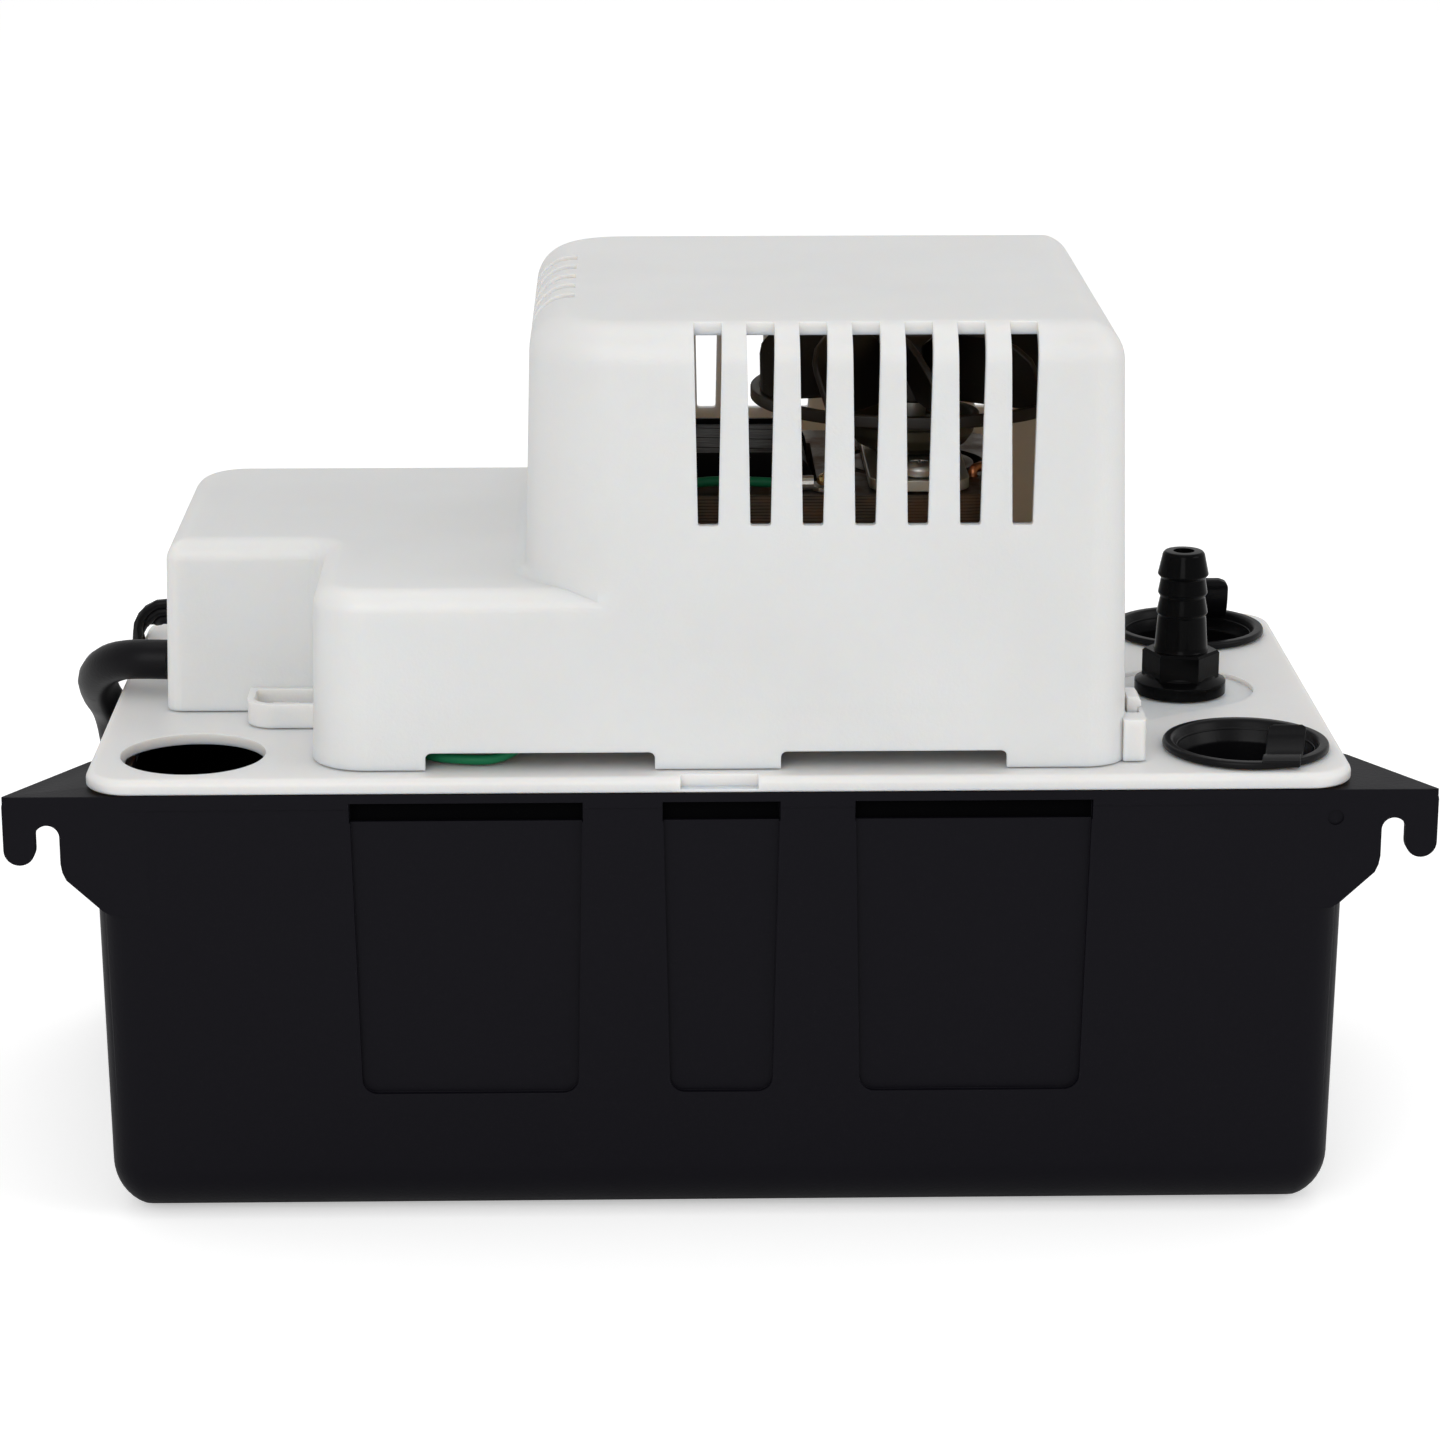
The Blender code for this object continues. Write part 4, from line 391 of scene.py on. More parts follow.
def lofted(name, rings, finish=None, smooth=35.0, closed=False):
    """A skin over rings of equal counts; closed joins the last ring to the first and leaves no caps."""
    count = len(rings[0])
    points = [point for ring in rings for point in ring]
    faces = []
    if not closed:
        faces = [list(range(count)), [len(points) - 1 - i for i in range(count)]]
    for level in range(len(rings) if closed else len(rings) - 1):
        low, high = level * count, (level + 1) % len(rings) * count
        for i in range(count):
            j = (i + 1) % count
            faces.append((low + i, low + j, high + j, high + i))
    return piece(name, points, faces, finish, smooth)


def prism(name, outline, plane, start, end, finish=None, smooth=35.0):
    place = {
        "XY": lambda a, b, depth: (a, b, depth),
        "XZ": lambda a, b, depth: (a, depth, b),
        "YZ": lambda a, b, depth: (depth, a, b),
    }[plane]
    return lofted(name, [[place(a, b, depth) for a, b in outline] for depth in (start, end)], finish, smooth)


def block(name, x0, x1, y0, y1, z0, z1, finish=None):
    return prism(name, rectangle(x0, x1, y0, y1), "XY", z0, z1, finish)


def rod(name, plane, centre, radius, start, end, finish=None, steps=48):
    outline = [(centre[0] + a, centre[1] + b) for a, b in circle(radius, steps)]
    return prism(name, outline, plane, start, end, finish)


def turned(name, profile, centre, finish=None, bored=False, steps=96, smooth=35.0):
    """A (radius, height) profile spun about a vertical axis. A bored profile is a closed loop."""
    rings = []
    for radius, height in profile:
        rings.append([(centre[0] + a, centre[1] + b, height) for a, b in circle(radius, steps)])
    return lofted(name, rings, finish, smooth, bored)


def softened(profile, radius, steps=3, loop=False):
    """A profile with each corner replaced by a short arc, so that edges catch the light."""
    points = [Vector(point) for point in profile]
    made = []
    count = len(points)
    for i, here in enumerate(points):
        if not loop and i in (0, count - 1):
            made.append(tuple(here))
            continue
        before, after = points[i - 1], points[(i + 1) % count]
        reach = min(radius, 0.4 * (here - before).length, 0.4 * (after - here).length)
        start = here + (before - here).normalized() * reach
        end = here + (after - here).normalized() * reach
        for step in range(steps + 1):
            t = step / steps
            made.append(tuple((1 - t) ** 2 * start + 2 * t * (1 - t) * here + t**2 * end))
    return made


def combine(body, tool, operation):
    """Applies a Boolean and drops the tool."""
    step = body.modifiers.new("combine", "BOOLEAN")
    step.operation = operation
    step.solver = "EXACT"
    step.object = tool
    settle(body)
    bpy.data.objects.remove(tool, do_unlink=True)


def join(body, *tools):
    for tool in tools:
        combine(body, tool, "UNION")


def cut(body, *tools):
    for tool in tools:
        combine(body, tool, "DIFFERENCE")


def settle(item):
    """Turns an object's modifiers into its mesh."""
    graph = bpy.context.evaluated_depsgraph_get()
    graph.update()
    mesh = bpy.data.meshes.new_from_object(item.evaluated_get(graph))
    old = item.data
    item.modifiers.clear()
    item.data = mesh
    bpy.data.meshes.remove(old)


def crisp(item, width, angle=35.0, segments=2):
    """Rounds an object's sharp edges a little and evens its shading."""
    if width:
        edge = item.modifiers.new("edge", "BEVEL")
        edge.width = width
        edge.segments = segments
        edge.limit_method = "ANGLE"
        edge.angle_limit = radians(angle)
        edge.harden_normals = True
    even = item.modifiers.new("even", "WEIGHTED_NORMAL")
    even.keep_sharp = True
    even.weight = 80
    settle(item)


def merged(name, items, finish):
    """One object from several that needn't touch."""
    work = bmesh.new()
    for item in items:
        work.from_mesh(item.data)
    mesh = bpy.data.meshes.new(name)
    work.to_mesh(mesh)
    work.free()
    for item in items:
        bpy.data.objects.remove(item, do_unlink=True)
    made = bpy.data.objects.new(name, mesh)
    bpy.context.scene.collection.objects.link(made)
    mesh.materials.append(finishes()[finish])
    return made


def finished(item, body, kind, *nodes):
    """Gives a piece its finish, its body and the CAD nodes that it stands for."""
    if not item.data.materials:
        item.data.materials.append(finishes()[kind])
    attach(item, body)
    if nodes:
        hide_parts(*nodes)
    return item


def smooth_route(stops, spacing):
    """Points every spacing along a Catmull-Rom curve through the stops."""
    stops = [Vector(stop) for stop in stops]
    stops = [2 * stops[0] - stops[1]] + stops + [2 * stops[-1] - stops[-2]]
    fine = []
    for a, b, c, d in zip(stops, stops[1:], stops[2:], stops[3:]):
        slope, bend, swing = c - a, 2 * a - 5 * b + 4 * c - d, 3 * b - a - 3 * c + d
        for step in range(24):
            t = step / 24
            fine.append(0.5 * (2 * b + slope * t + bend * t**2 + swing * t**3))
    fine.append(stops[-2])
    walked = [0.0]
    for here, there in zip(fine, fine[1:]):
        walked.append(walked[-1] + (there - here).length)
    count = max(2, round(walked[-1] / spacing))
    route = []
    index = 0
    for i in range(count):
        target = walked[-1] * i / count
        while walked[index + 1] < target:
            index += 1
        share = (target - walked[index]) / (walked[index + 1] - walked[index])
        route.append(fine[index].lerp(fine[index + 1], share))
    return route + [fine[-1]]


def swept(name, route, section, finish, guides=None):
    """A closed skin of (across, up) points along a route, with little twist or up as the guides point."""
    rings = []
    rise = Vector((0.0, 0.0, 1.0))
    for i, place in enumerate(route):
        ahead = (route[min(i + 1, len(route) - 1)] - route[max(i - 1, 0)]).normalized()
        rise = guides[i] if guides else rise
        rise = (rise - rise.dot(ahead) * ahead).normalized()
        across = ahead.cross(rise)
        rings.append([place + a * across + b * rise for a, b in section])
    return lofted(name, rings, finish, 40.0)


def tube_curve(name, route, diameter, finish):
    """A round cord as one open spline with filled ends."""
    curve = bpy.data.curves.new(name, "CURVE")
    curve.dimensions = "3D"
    curve.bevel_depth = 0.5 * diameter * MM
    curve.bevel_resolution = 6
    curve.use_fill_caps = True
    spline = curve.splines.new("POLY")
    spline.points.add(len(route) - 1)
    for point, place in zip(spline.points, route):
        point.co = (*(place * MM), 1.0)
    curve.materials.append(finishes()[finish])
    made = bpy.data.objects.new(name, curve)
    bpy.context.scene.collection.objects.link(made)
    return made


# ---------------------------------------------------------------- stage and camera

CAMERA_LENS = 104.1
CAMERA_SENSOR = 36.0
CAMERA_PLACE = (-0.01656, -0.8372, 0.3262)
CAMERA_PITCH = 16.016  # degrees down
CAMERA_YAW = 1.188  # degrees toward +X
AIM = (0.0, 0.0, 0.1)
SOFTBOXES = (  # name, place and side in metres, power in watts
    ("front_softbox", (-0.5, -1.7, 1.0), 1.4, 13.0),
    ("right_softbox", (1.6, -0.6, 1.0), 1.0, 6.0),
    ("top_softbox", (0.0, 0.3, 1.8), 1.4, 4.0),
)


class PUMP_OT_stage(bpy.types.Operator):
    """Sets the floor, the soft lights and the camera"""

    bl_idname = "pump.stage"
    bl_label = "Stage"

    def execute(self, context):
        scene = context.scene
        scene.view_settings.view_transform = "Standard"
        camera = bpy.data.objects.new("camera", bpy.data.cameras.new("camera"))
        camera.data.lens = CAMERA_LENS
        camera.data.sensor_width = CAMERA_SENSOR
        camera.data.clip_end = 20.0
        camera.location = CAMERA_PLACE
        camera.rotation_euler = (radians(90 - CAMERA_PITCH), 0.0, radians(-CAMERA_YAW))
        scene.collection.objects.link(camera)
        scene.camera = camera

        floor = Finish("floor", tuple(colours().floor), 0.9, Specular_IOR_Level=0.1)
        seen = floor.node("ShaderNodeLightPath", {}, {}, "Is Camera Ray")
        floor.set("Emission Color", (1.0, 1.0, 1.0, 1.0))
        floor.shader.inputs["Emission Strength"].default_value = 0.0
        glow = floor.node("ShaderNodeEmission", {}, {"Color": (1.0, 1.0, 1.0, 1.0), "Strength": 0.42})
        plain = Value(floor, floor.shader.outputs[0])
        both = floor.node("ShaderNodeAddShader", {}, {0: plain, 1: glow})
        final = floor.node("ShaderNodeMixShader", {}, {0: seen, 1: plain, 2: both})
        floor.tree.links.new(final.socket, floor.tree.nodes["Material Output"].inputs["Surface"])
        ground = block("floor", -4000, 4000, -3000, 5000, -20, -0.05)
        ground.data.materials.append(floor.material)

        world = bpy.data.worlds.new("studio")
        world.use_nodes = True
        scene.world = world
        tree = world.node_tree
        path = tree.nodes.new("ShaderNodeLightPath")
        mix = tree.nodes.new("ShaderNodeMix")
        mix.data_type = "FLOAT"
        mix.inputs["A"].default_value = 0.62
        mix.inputs["B"].default_value = 1.0
        tree.links.new(path.outputs["Is Camera Ray"], mix.inputs["Factor"])
        background = tree.nodes["Background"]
        background.inputs["Color"].default_value = (1.0, 1.0, 1.0, 1.0)
        tree.links.new(mix.outputs[0], background.inputs["Strength"])

        for name, place, size, power in SOFTBOXES:
            light = bpy.data.lights.new(name, "AREA")
            light.shape = "SQUARE"
            light.size = size
            light.energy = power
            lamp = bpy.data.objects.new(name, light)
            lamp.location = place
            lamp.rotation_euler = (Vector(AIM) - Vector(place)).to_track_quat("-Z", "Y").to_euler()
            scene.collection.objects.link(lamp)
        return {"FINISHED"}


# ---------------------------------------------------------------- cords

WALL_X = -112.9  # the cover's left face, where cord and lead come out
CORD_Z = 99.6
LEAD_Y = 40.0
COIL = (-50.0, 128.0)
COIL_RADIUS = 43.6
COIL_GAP = 0.25  # between turns, and above the floor
COIL_ENTRY = 55.5  # how far from the coil's middle the cord comes in
TIE_ANGLE = radians(62)
PLUG_Y = 106.0


def cord_route():
    """The mains cord from inside the cover, round behind the tank and coiled, to its plug."""
    radius = 500 * sizes().cord_width
    floor = radius + COIL_GAP
    cx, cy = COIL
    beside = [(1, 0, CORD_Z), (6.2, 0.4, CORD_Z), (10.8, 3, 98.7), (15, 8, 96), (17.9, 16, 91.1)]
    beside += [(18.7, 28, 84.6), (18.3, 42, 76), (17.8, 50, 62), (17.8, 54, 42), (17.9, 58, 22)]
    beside += [(18.2, 64, 9), (17.4, 72, floor + 0.3), (14.3, 83, floor), (5.5, 99, floor)]
    stops = [(WALL_X - out, y, z) for out, y, z in beside]
    stops.append((cx - COIL_ENTRY, cy - 9, floor))
    gap = 2 * radius + COIL_GAP
    inner, outer = COIL_RADIUS - 0.5 * gap, COIL_RADIUS + 0.5 * gap
    layers = ((outer, floor), (inner, floor), (inner, floor + gap), (inner, floor + 2 * gap))
    layers += ((outer, floor + 2 * gap), (outer, floor + gap), (outer, floor + gap))
    turns = sizes().coil_turns
    steps = int(turns * 24)
    for i in range(1, steps):
        walked = turns * i / steps
        level = int(walked)
        share = max(0.0, min(1.0, (walked - level - 0.78) / 0.22))
        share = share * share * (3 - 2 * share)
        here, there = layers[level], layers[level + 1]
        reach = here[0] + (there[0] - here[0]) * share
        if walked < 0.25:
            reach += (COIL_ENTRY - outer) * (1 - walked / 0.25) ** 2
        rise = here[1] + (there[1] - here[1]) * share
        angle = pi - 2 * pi * walked
        stops.append((cx + reach * cos(angle), cy + reach * sin(angle), rise))
    stops += [(cx + 52.5, cy - 7, floor + gap), (cx + 57.5, cy - 15, floor + 8.6), (24.0, PLUG_Y + 2.0, 13.0)]
    stops += [(34.0, PLUG_Y, 13.2), (41.0, PLUG_Y, 13.2)]
    return smooth_route(stops, 2.2)


def lead_route():
    """The two-wire alarm lead from inside the cover, down the tank's end and along its back."""
    floor = 1.45
    beside = [(1, LEAD_Y, CORD_Z), (5.4, LEAD_Y, CORD_Z), (7.5, 40.5, 99.2), (9.5, 42, 97.5)]
    beside += [(11.6, 45, 94.9), (13.0, 49, 91), (12.3, 52, 84), (11.9, 53, 60), (11.4, 54, 25)]
    beside += [(10.2, 57, 8), (8, 62, floor + 1), (1.5, 66.5, floor)]
    stops = [(WALL_X - out, y, z) for out, y, z in beside]
    stops += [(-97, 67.4, floor), (-40, 66.6, floor)]
    stops += [(40, 66.4, floor), (100, 67, floor), (118, 72.5, floor)]
    return smooth_route(stops, 2.0)


def lead_guides(path):
    """Where the ribbon's thin side faces: back at the wall, out down the tank, up on the floor."""
    guides = []
    walked = 0.0
    for i, place in enumerate(path):
        walked += (place - path[max(i - 1, 0)]).length
        twist = min(max((walked - 5) / 15, 0.0), 1.0)
        flat = min(max((17 - place.z) / 14, 0.0), 1.0) if walked > 40 else 0.0
        guides.append(Vector((-twist, 1 - twist, 0.0)).lerp(Vector((0.0, 0.0, 1.0)), flat))
    return guides


class PUMP_OT_cords(bpy.types.Operator):
    """Makes the mains cord with its coil and tie, and the alarm lead"""

    bl_idname = "pump.cords"
    bl_label = "Cords"

    def execute(self, context):
        size = sizes()
        route = cord_route()
        mains = tube_curve("mains_cord", route, 1000 * size.cord_width, "cord")
        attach(mains, BASE)
        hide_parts("power_cord", "power_cord_coil", "power_cord_tail")

        make_grommet()
        pieces = [make_coil_tie()] + make_mains_plug()
        tuple(route[0] * MM)

        path = lead_route()
        half, thick = 500 * size.lead_width, 500 * size.lead_thick
        ridges = 3
        lobe = half / ridges
        face = []
        for i in range(ridges):
            for step in range(7):
                angle = pi * step / 6
                face.append((half - lobe * (2 * i + 1 - cos(angle)), thick * (0.5 + 0.5 * sin(angle))))
        section = face + [(-a, -b) for a, b in face]
        lead = swept("alarm_pair", path, section, "lead", lead_guides(path))
        finished(lead, BASE, "lead", "alarm_lead")
        last, before = path[-1], path[-3]
        ahead = (last - before).normalized()
        across = Vector((-ahead.y, ahead.x, 0.0))
        for i, side in enumerate((1, -1)):
            base = last + across * side * 1.1
            wire = [base - ahead * 0.5, base + ahead * 4 + across * side * 0.8]
            wire.append(base + ahead * 9 + across * side * 2.0)
            bare = smooth_route(wire, 1.0)
            strand = swept(f"alarm_wire_{i + 1}", bare, circle(0.55, 12), "copper")
            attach(strand, BASE)
        measured = sum((b - a).length for a, b in zip(path, path[1:])) * MM
        tuple(path[0] * MM)
        [tuple(point * MM) for point in path]
        return {"FINISHED"}


def make_coil_tie():
    """The rubber band round the coil's bundle of turns, flat where it lies on the floor."""
    out = Vector((cos(TIE_ANGLE), sin(TIE_ANGLE), 0.0))
    along = Vector((-out.y, out.x, 0.0))
    middle = Vector((*COIL, 0.0)) + out * COIL_RADIUS + Vector((0.0, 0.0, 12.0))
    outline = rounded(rectangle(-8.6, 8.6, -11.9, 12.3), [3.6] * 4, arc=5)
    rings = []
    for grow, half in ((0.0, 3.0), (0.0, -3.0), (0.9, -3.0), (0.9, 3.0)):
        stretch = 1 + grow / 9.0
        ring = []
        for a, b in outline:
            rise = min(b * stretch, 14.0) if b > 0 else max(b, -11.9)
            ring.append(middle + out * a * stretch + Vector((0.0, 0.0, rise)) + along * half)
        rings.append(ring)
    tie = lofted("coil_tie", rings, "rubber", 40.0, closed=True)
    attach(tie, BASE)
    return tie


def make_grommet():
    """The cord's grip in the cover's wall: flush outside, a collar inside."""
    bore = 500 * sizes().cord_width + 0.15
    profile = [(bore, -0.15), (4.7, -0.15), (4.95, 0.1), (4.95, 2.4)]
    profile += [(7.4, 2.4), (7.4, 4.9), (6.9, 5.4), (bore, 5.4)]
    rings = []
    for radius, depth in profile:
        rings.append([(WALL_X + depth, a, CORD_Z + b) for a, b in circle(radius, 64)])
    finished(lofted("cord_grommet", rings, closed=True), BASE, "rubber", "strain_relief")


def make_mains_plug():
    """The moulded three-prong plug with its ribbed grip; the prongs are the CAD blades in brass."""
    rings = []
    sections = [(38.5, 4.6, 8.6, 17.8, 4.4), (39.2, 4.9, 8.3, 18.1, 4.4)]
    for i in range(5):
        x = 40.0 + i * 2.6
        sections += [(x, 5.0, 8.2, 18.2, 4.5), (x + 1.5, 5.2, 8.0, 18.4, 4.5)]
        sections += [(x + 1.6, 4.4, 8.8, 17.6, 4.0), (x + 2.5, 4.4, 8.8, 17.6, 4.0)]
    sections += [(53.6, 6.0, 7.2, 19.2, 4.6), (55.5, 8.8, 4.4, 22.0, 5.8), (57.6, 11.2, 2.0, 24.4, 6.6)]
    sections += [(60.0, 12.5, 0.8, 25.5, 7.0), (64.0, 12.9, 0.5, 25.9, 7.0), (80.0, 13.0, 0.4, 26.0, 7.0)]
    sections += [(82.6, 12.9, 0.5, 25.9, 7.0), (83.7, 12.5, 0.9, 25.5, 6.8), (84.0, 12.0, 1.4, 25.0, 6.4)]
    for x, half_y, low, high, corner in sections:
        outline = rounded(rectangle(-half_y, half_y, low, high), [min(corner, half_y - 0.1)] * 4, arc=8)
        rings.append([(x, PLUG_Y + y, z) for y, z in outline])
    body = lofted("plug_moulding", rings, "cord", 30.0)
    for y in (PLUG_Y - 6.35, PLUG_Y + 6.35):
        cut(body, block("blade_pocket", 78.7, 90.0, y - 1.0, y + 1.0, 14.65, 21.45))
    cut(body, rod("pin_pocket", "YZ", (PLUG_Y, 6.1), 2.7, 78.7, 90.0))
    for i in range(6):
        x = 64.0 + i * 2.4
        for side in (-1, 1):
            y = PLUG_Y + side * 12.9
            cut(body, block("grip", x, x + 1.2, y - 0.5, y + 0.5, 7.0, 19.5))
    crisp(body, 0.0003)
    finished(body, BASE, "cord", "mains_plug")
    prongs = []
    for name in ("prong_line", "prong_neutral", "prong_ground"):
        paint_node(name, "brass")
        prongs.append(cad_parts[name])
    return [body] + prongs


# ---------------------------------------------------------------- places and sizes, in millimetres

TANK_BOX = rectangle(-123.2, 123.1, -62.8, 62.2)
TANK_HEIGHT = 89.1
TANK_DRAFT = 0.014
TANK_CORNER = 8.0
DECK_CORNER = 9.0
TANK_EDGE = 11.0
PANELS = ((-72.6, -27.3), (-11.6, 11.2), (26.0, 72.2))
PANEL_FOOT = 26.7
PANEL_HEAD = 87.3
PANEL_TAPER = 1.3  # how far a panel's sides come in from its head to its foot
DECK_EDGE = 1.5
DECK_TOP = 92.4
INLET_RADIUS = 14.3
INLETS = ((-104.4, -45.0), (104.4, -45.0), (104.4, 45.0))
COVER_BOTTOM = 92.7
COVER_DRAFT = tan(radians(1.5))
COVER_LOW = ((-80.5, -58.4), (79.7, -58.4), (79.7, 58.3), (WALL_X, 58.3), (WALL_X, -15.0), (-80.5, -15.0))
COVER_LOW_RADII = (11.0, 8.5, 8.0, 12.0, 3.5, 3.0)
COVER_LOW_TOP = 128.2
COVER_HIGH_TOP = 179.7
COVER_HIGH_LEFT = -39.2
COVER_FILLET = 3.0
COVER_HIGH_CORNER = 20.0
LOUVRE_FOOT = 141.0
LOUVRE_TAPER = 0.8
LOUVRE_FIRST = -2.65
SHAFT = (40.0, 0.0)
MOTOR_SCREW_Y = 26.0
GROUND_SCREW = (22.5, -26.0)
SWITCH_SCREWS = ((-96.0, 10.5), (-96.0, 29.5))
SHADING_RADIUS = 18.2
SHADING = {"shading_ring_right": (-50.0, -34.0), "shading_ring_left": (130.0, 146.0)}
STACK_BOTTOM = 118.0
STACK_TOP = 141.0
MOTOR_SEAT = 114.9  # top of the deck's posts and foot of the lower bearing
SCREW_SEAT = 144.1  # where the long screws' heads and the upper bearing sit
FAN_BOTTOM = 154.6
FAN_TOP = 172.0
FAN_RADIUS = 33.0
FITTING = (97.0, 0.0)
HEX_RADIUS = 8.0


# ---------------------------------------------------------------- repeats

def repeat_group():
    """Geometry nodes that lay copies of an object along a step, turning each one a little further."""
    group = bpy.data.node_groups.get("repeat")
    if group:
        return group
    group = bpy.data.node_groups.new("repeat", "GeometryNodeTree")
    face = group.interface
    for name, kind in (
        ("Source", "NodeSocketObject"), ("Count", "NodeSocketInt"), ("Step", "NodeSocketVector"),
        ("Turn", "NodeSocketFloat"), ("Finish", "NodeSocketMaterial"),
    ):
        face.new_socket(name=name, in_out="INPUT", socket_type=kind)
    face.new_socket(name="Geometry", in_out="OUTPUT", socket_type="NodeSocketGeometry")
    inputs = group.nodes.new("NodeGroupInput")
    source = group.nodes.new("GeometryNodeObjectInfo")
    line = group.nodes.new("GeometryNodeMeshLine")
    index = group.nodes.new("GeometryNodeInputIndex")
    turn = group.nodes.new("ShaderNodeMath")
    turn.operation = "MULTIPLY"
    rotation = group.nodes.new("ShaderNodeCombineXYZ")
    copies = group.nodes.new("GeometryNodeInstanceOnPoints")
    solid = group.nodes.new("GeometryNodeRealizeInstances")
    paint = group.nodes.new("GeometryNodeSetMaterial")
    output = group.nodes.new("NodeGroupOutput")
    for start, end in (
        (inputs.outputs["Source"], source.inputs["Object"]),
        (inputs.outputs["Count"], line.inputs["Count"]),
        (inputs.outputs["Step"], line.inputs["Offset"]),
        (index.outputs[0], turn.inputs[0]),
        (inputs.outputs["Turn"], turn.inputs[1]),
        (turn.outputs[0], rotation.inputs["Z"]),
        (line.outputs["Mesh"], copies.inputs["Points"]),
        (source.outputs["Geometry"], copies.inputs["Instance"]),
        (rotation.outputs[0], copies.inputs["Rotation"]),
        (copies.outputs[0], solid.inputs[0]),
        (solid.outputs[0], paint.inputs["Geometry"]),
        (inputs.outputs["Finish"], paint.inputs["Material"]),
        (paint.outputs[0], output.inputs[0]),
    ):
        group.links.new(start, end)
    return group


def repeated(name, source, count, step=(0.0, 0.0, 0.0), turn=0.0, finish="cover"):
    """Copies of source as one mesh object. step is in millimetres; source is used up."""
    group = repeat_group()
    made = bpy.data.objects.new(name, bpy.data.meshes.new(name))
    bpy.context.scene.collection.objects.link(made)
    values = {
        "Source": source, "Count": count, "Step": tuple(Vector(step) * MM), "Turn": turn,
        "Finish": finishes()[finish],
    }
    modifier = made.modifiers.new("repeat", "NODES")
    modifier.node_group = group
    for item in group.interface.items_tree:
        if item.in_out == "INPUT":
            modifier[item.identifier] = values[item.name]
    settle(made)
    bpy.data.objects.remove(source, do_unlink=True)
    return made


# ---------------------------------------------------------------- tank and deck

def tank_inset(z):
    """How far the drafted wall has come in at height z."""
    return TANK_DRAFT * (TANK_HEIGHT - z)


def tank_ring(inset, z):
    return at_height(rounded(TANK_BOX, [TANK_CORNER] * 4, inset), z)


def tub(name, wall, floor, top):
    """The tank's drafted outline, moved in by wall, with a rounded lower edge."""
    edge = TANK_EDGE - wall
    rings = []
    for step in range(13):
        turn = 0.5 * pi * step / 12
        z = floor + edge * (1 - cos(turn))
        inset = wall + tank_inset(z) + edge * (1 - sin(turn))
        rings.append(tank_ring(inset, z))
    rings.append(tank_ring(wall + tank_inset(top), top))
    return lofted(name, rings)


def follow_wall(item):
    """Leans a piece drawn against an upright front wall so that it follows the wall's draft."""
    lean = Matrix.Identity(4)
    lean[1][2] = -TANK_DRAFT
    lean[1][3] = TANK_DRAFT * TANK_HEIGHT * MM
    item.data.transform(lean)
    return item


def arc(centre, radius, start, end, steps):
    """Points along an arc between two angles in degrees."""
    angles = [radians(start + (end - start) * step / steps) for step in range(steps + 1)]
    return [(centre[0] + radius * cos(angle), centre[1] + radius * sin(angle)) for angle in angles]


def ear(name, side):
    """A flat hook whose slot opens downward, with the web that ties it to the rim."""
    start, tip, top = 112.0, 140.0, TANK_HEIGHT - 0.15
    slot_in, slot_out = 129.05, 133.85
    hook = 0.5 * (tip - slot_out)
    slot = 0.5 * (slot_out - slot_in)
    outline = [(start, top)] + arc((tip - 2.0, top - 2.0), 2.0, 90, 0, 6)
    outline += arc((tip - hook, top - 13.9 + hook), hook, 0, -180, 16)
    outline += arc((slot_in + slot, top - 5.75 - slot), slot, 0, 180, 24)
    outline += [(slot_in, top - 13.6), (slot_in - 0.3, top - 15.4), (slot_in - 1.0, top - 17.0)]
    outline += [(121.3, 65.6), (119.6, 64.6), (118.0, 64.4), (start, 64.4)]
    plate = prism(name, [(side * x, z) for x, z in outline], "XZ", -62.83, -60.2)
    follow_wall(plate)
    web = [(117.0, -62.6), (tip - 0.1, -62.6), (tip - 0.1, -62.2), (126.0, -38.8), (122.4, -34.6)]
    web.append((117.0, -34.6))
    join(plate, prism("web", [(side * x, y) for x, y in web], "XY", TANK_HEIGHT - 2.3, TANK_HEIGHT - 0.1))
    crisp(plate, 0.0004)
    return plate


class PUMP_OT_tank(bpy.types.Operator):
    """Makes the tank with its rim, hanging ears and sunk panels"""

    bl_idname = "pump.tank"
    bl_label = "Tank"

    def execute(self, context):
        size = sizes()
        wall = 1000 * size.tank_wall
        tank = tub("tank_body", 0.0, 0.0, TANK_HEIGHT - 1.0)
        rim = rounded(rectangle(-123.4, 123.3, -62.95, 63.2), [TANK_CORNER + 0.3] * 4)
        join(tank, prism("rim", rim, "XY", TANK_HEIGHT - 3.0, TANK_HEIGHT))
        cut(tank, tub("cavity", wall, wall, TANK_HEIGHT + 5))
        for left, right in PANELS:
            middle = 0.5 * (left + right)
            outline = []
            for x, z in rounded(rectangle(left, right, PANEL_FOOT, PANEL_HEAD - 0.4), (3.0, 3.0, 0.5, 0.5)):
                taper = PANEL_TAPER * (PANEL_HEAD - z) / (PANEL_HEAD - PANEL_FOOT)
                outline.append((x + taper if x < middle else x - taper, z))
            cut(tank, follow_wall(prism("panel", outline, "XZ", -70.8, -61.6)))
            band = block("band", left - 0.1, right + 0.1, -70.8, -60.6, PANEL_HEAD - 4.0, PANEL_HEAD)
            cut(tank, follow_wall(band))
        crisp(tank, size.plate_bevel, 28.0)
        join(tank, ear("ear_l", -1), ear("ear_r", 1))
        cut(tank, rod("dimple", "XZ", (119.95, TANK_HEIGHT - 5.8), 1.6, -67.8, -62.2))
        crisp(tank, 0.0)
        tank.data.materials.append(finishes()["tank"])
        tank.data.materials.append(finishes()["shadow"])
        # The faces of the band under the rim take the near-black material: painted shadow, as if the recess
        # were deeper than it is cut.
        for face in tank.data.polygons:
            x, y, z = face.center / MM
            painted_shade = -61.4 < y < -60.2 and TANK_HEIGHT - 6.0 < z < TANK_HEIGHT - 1.7
            if painted_shade and any(left < x < right for left, right in PANELS):
                face.material_index = 1
        finished(tank, BASE, "tank", "tank")
        return {"FINISHED"}


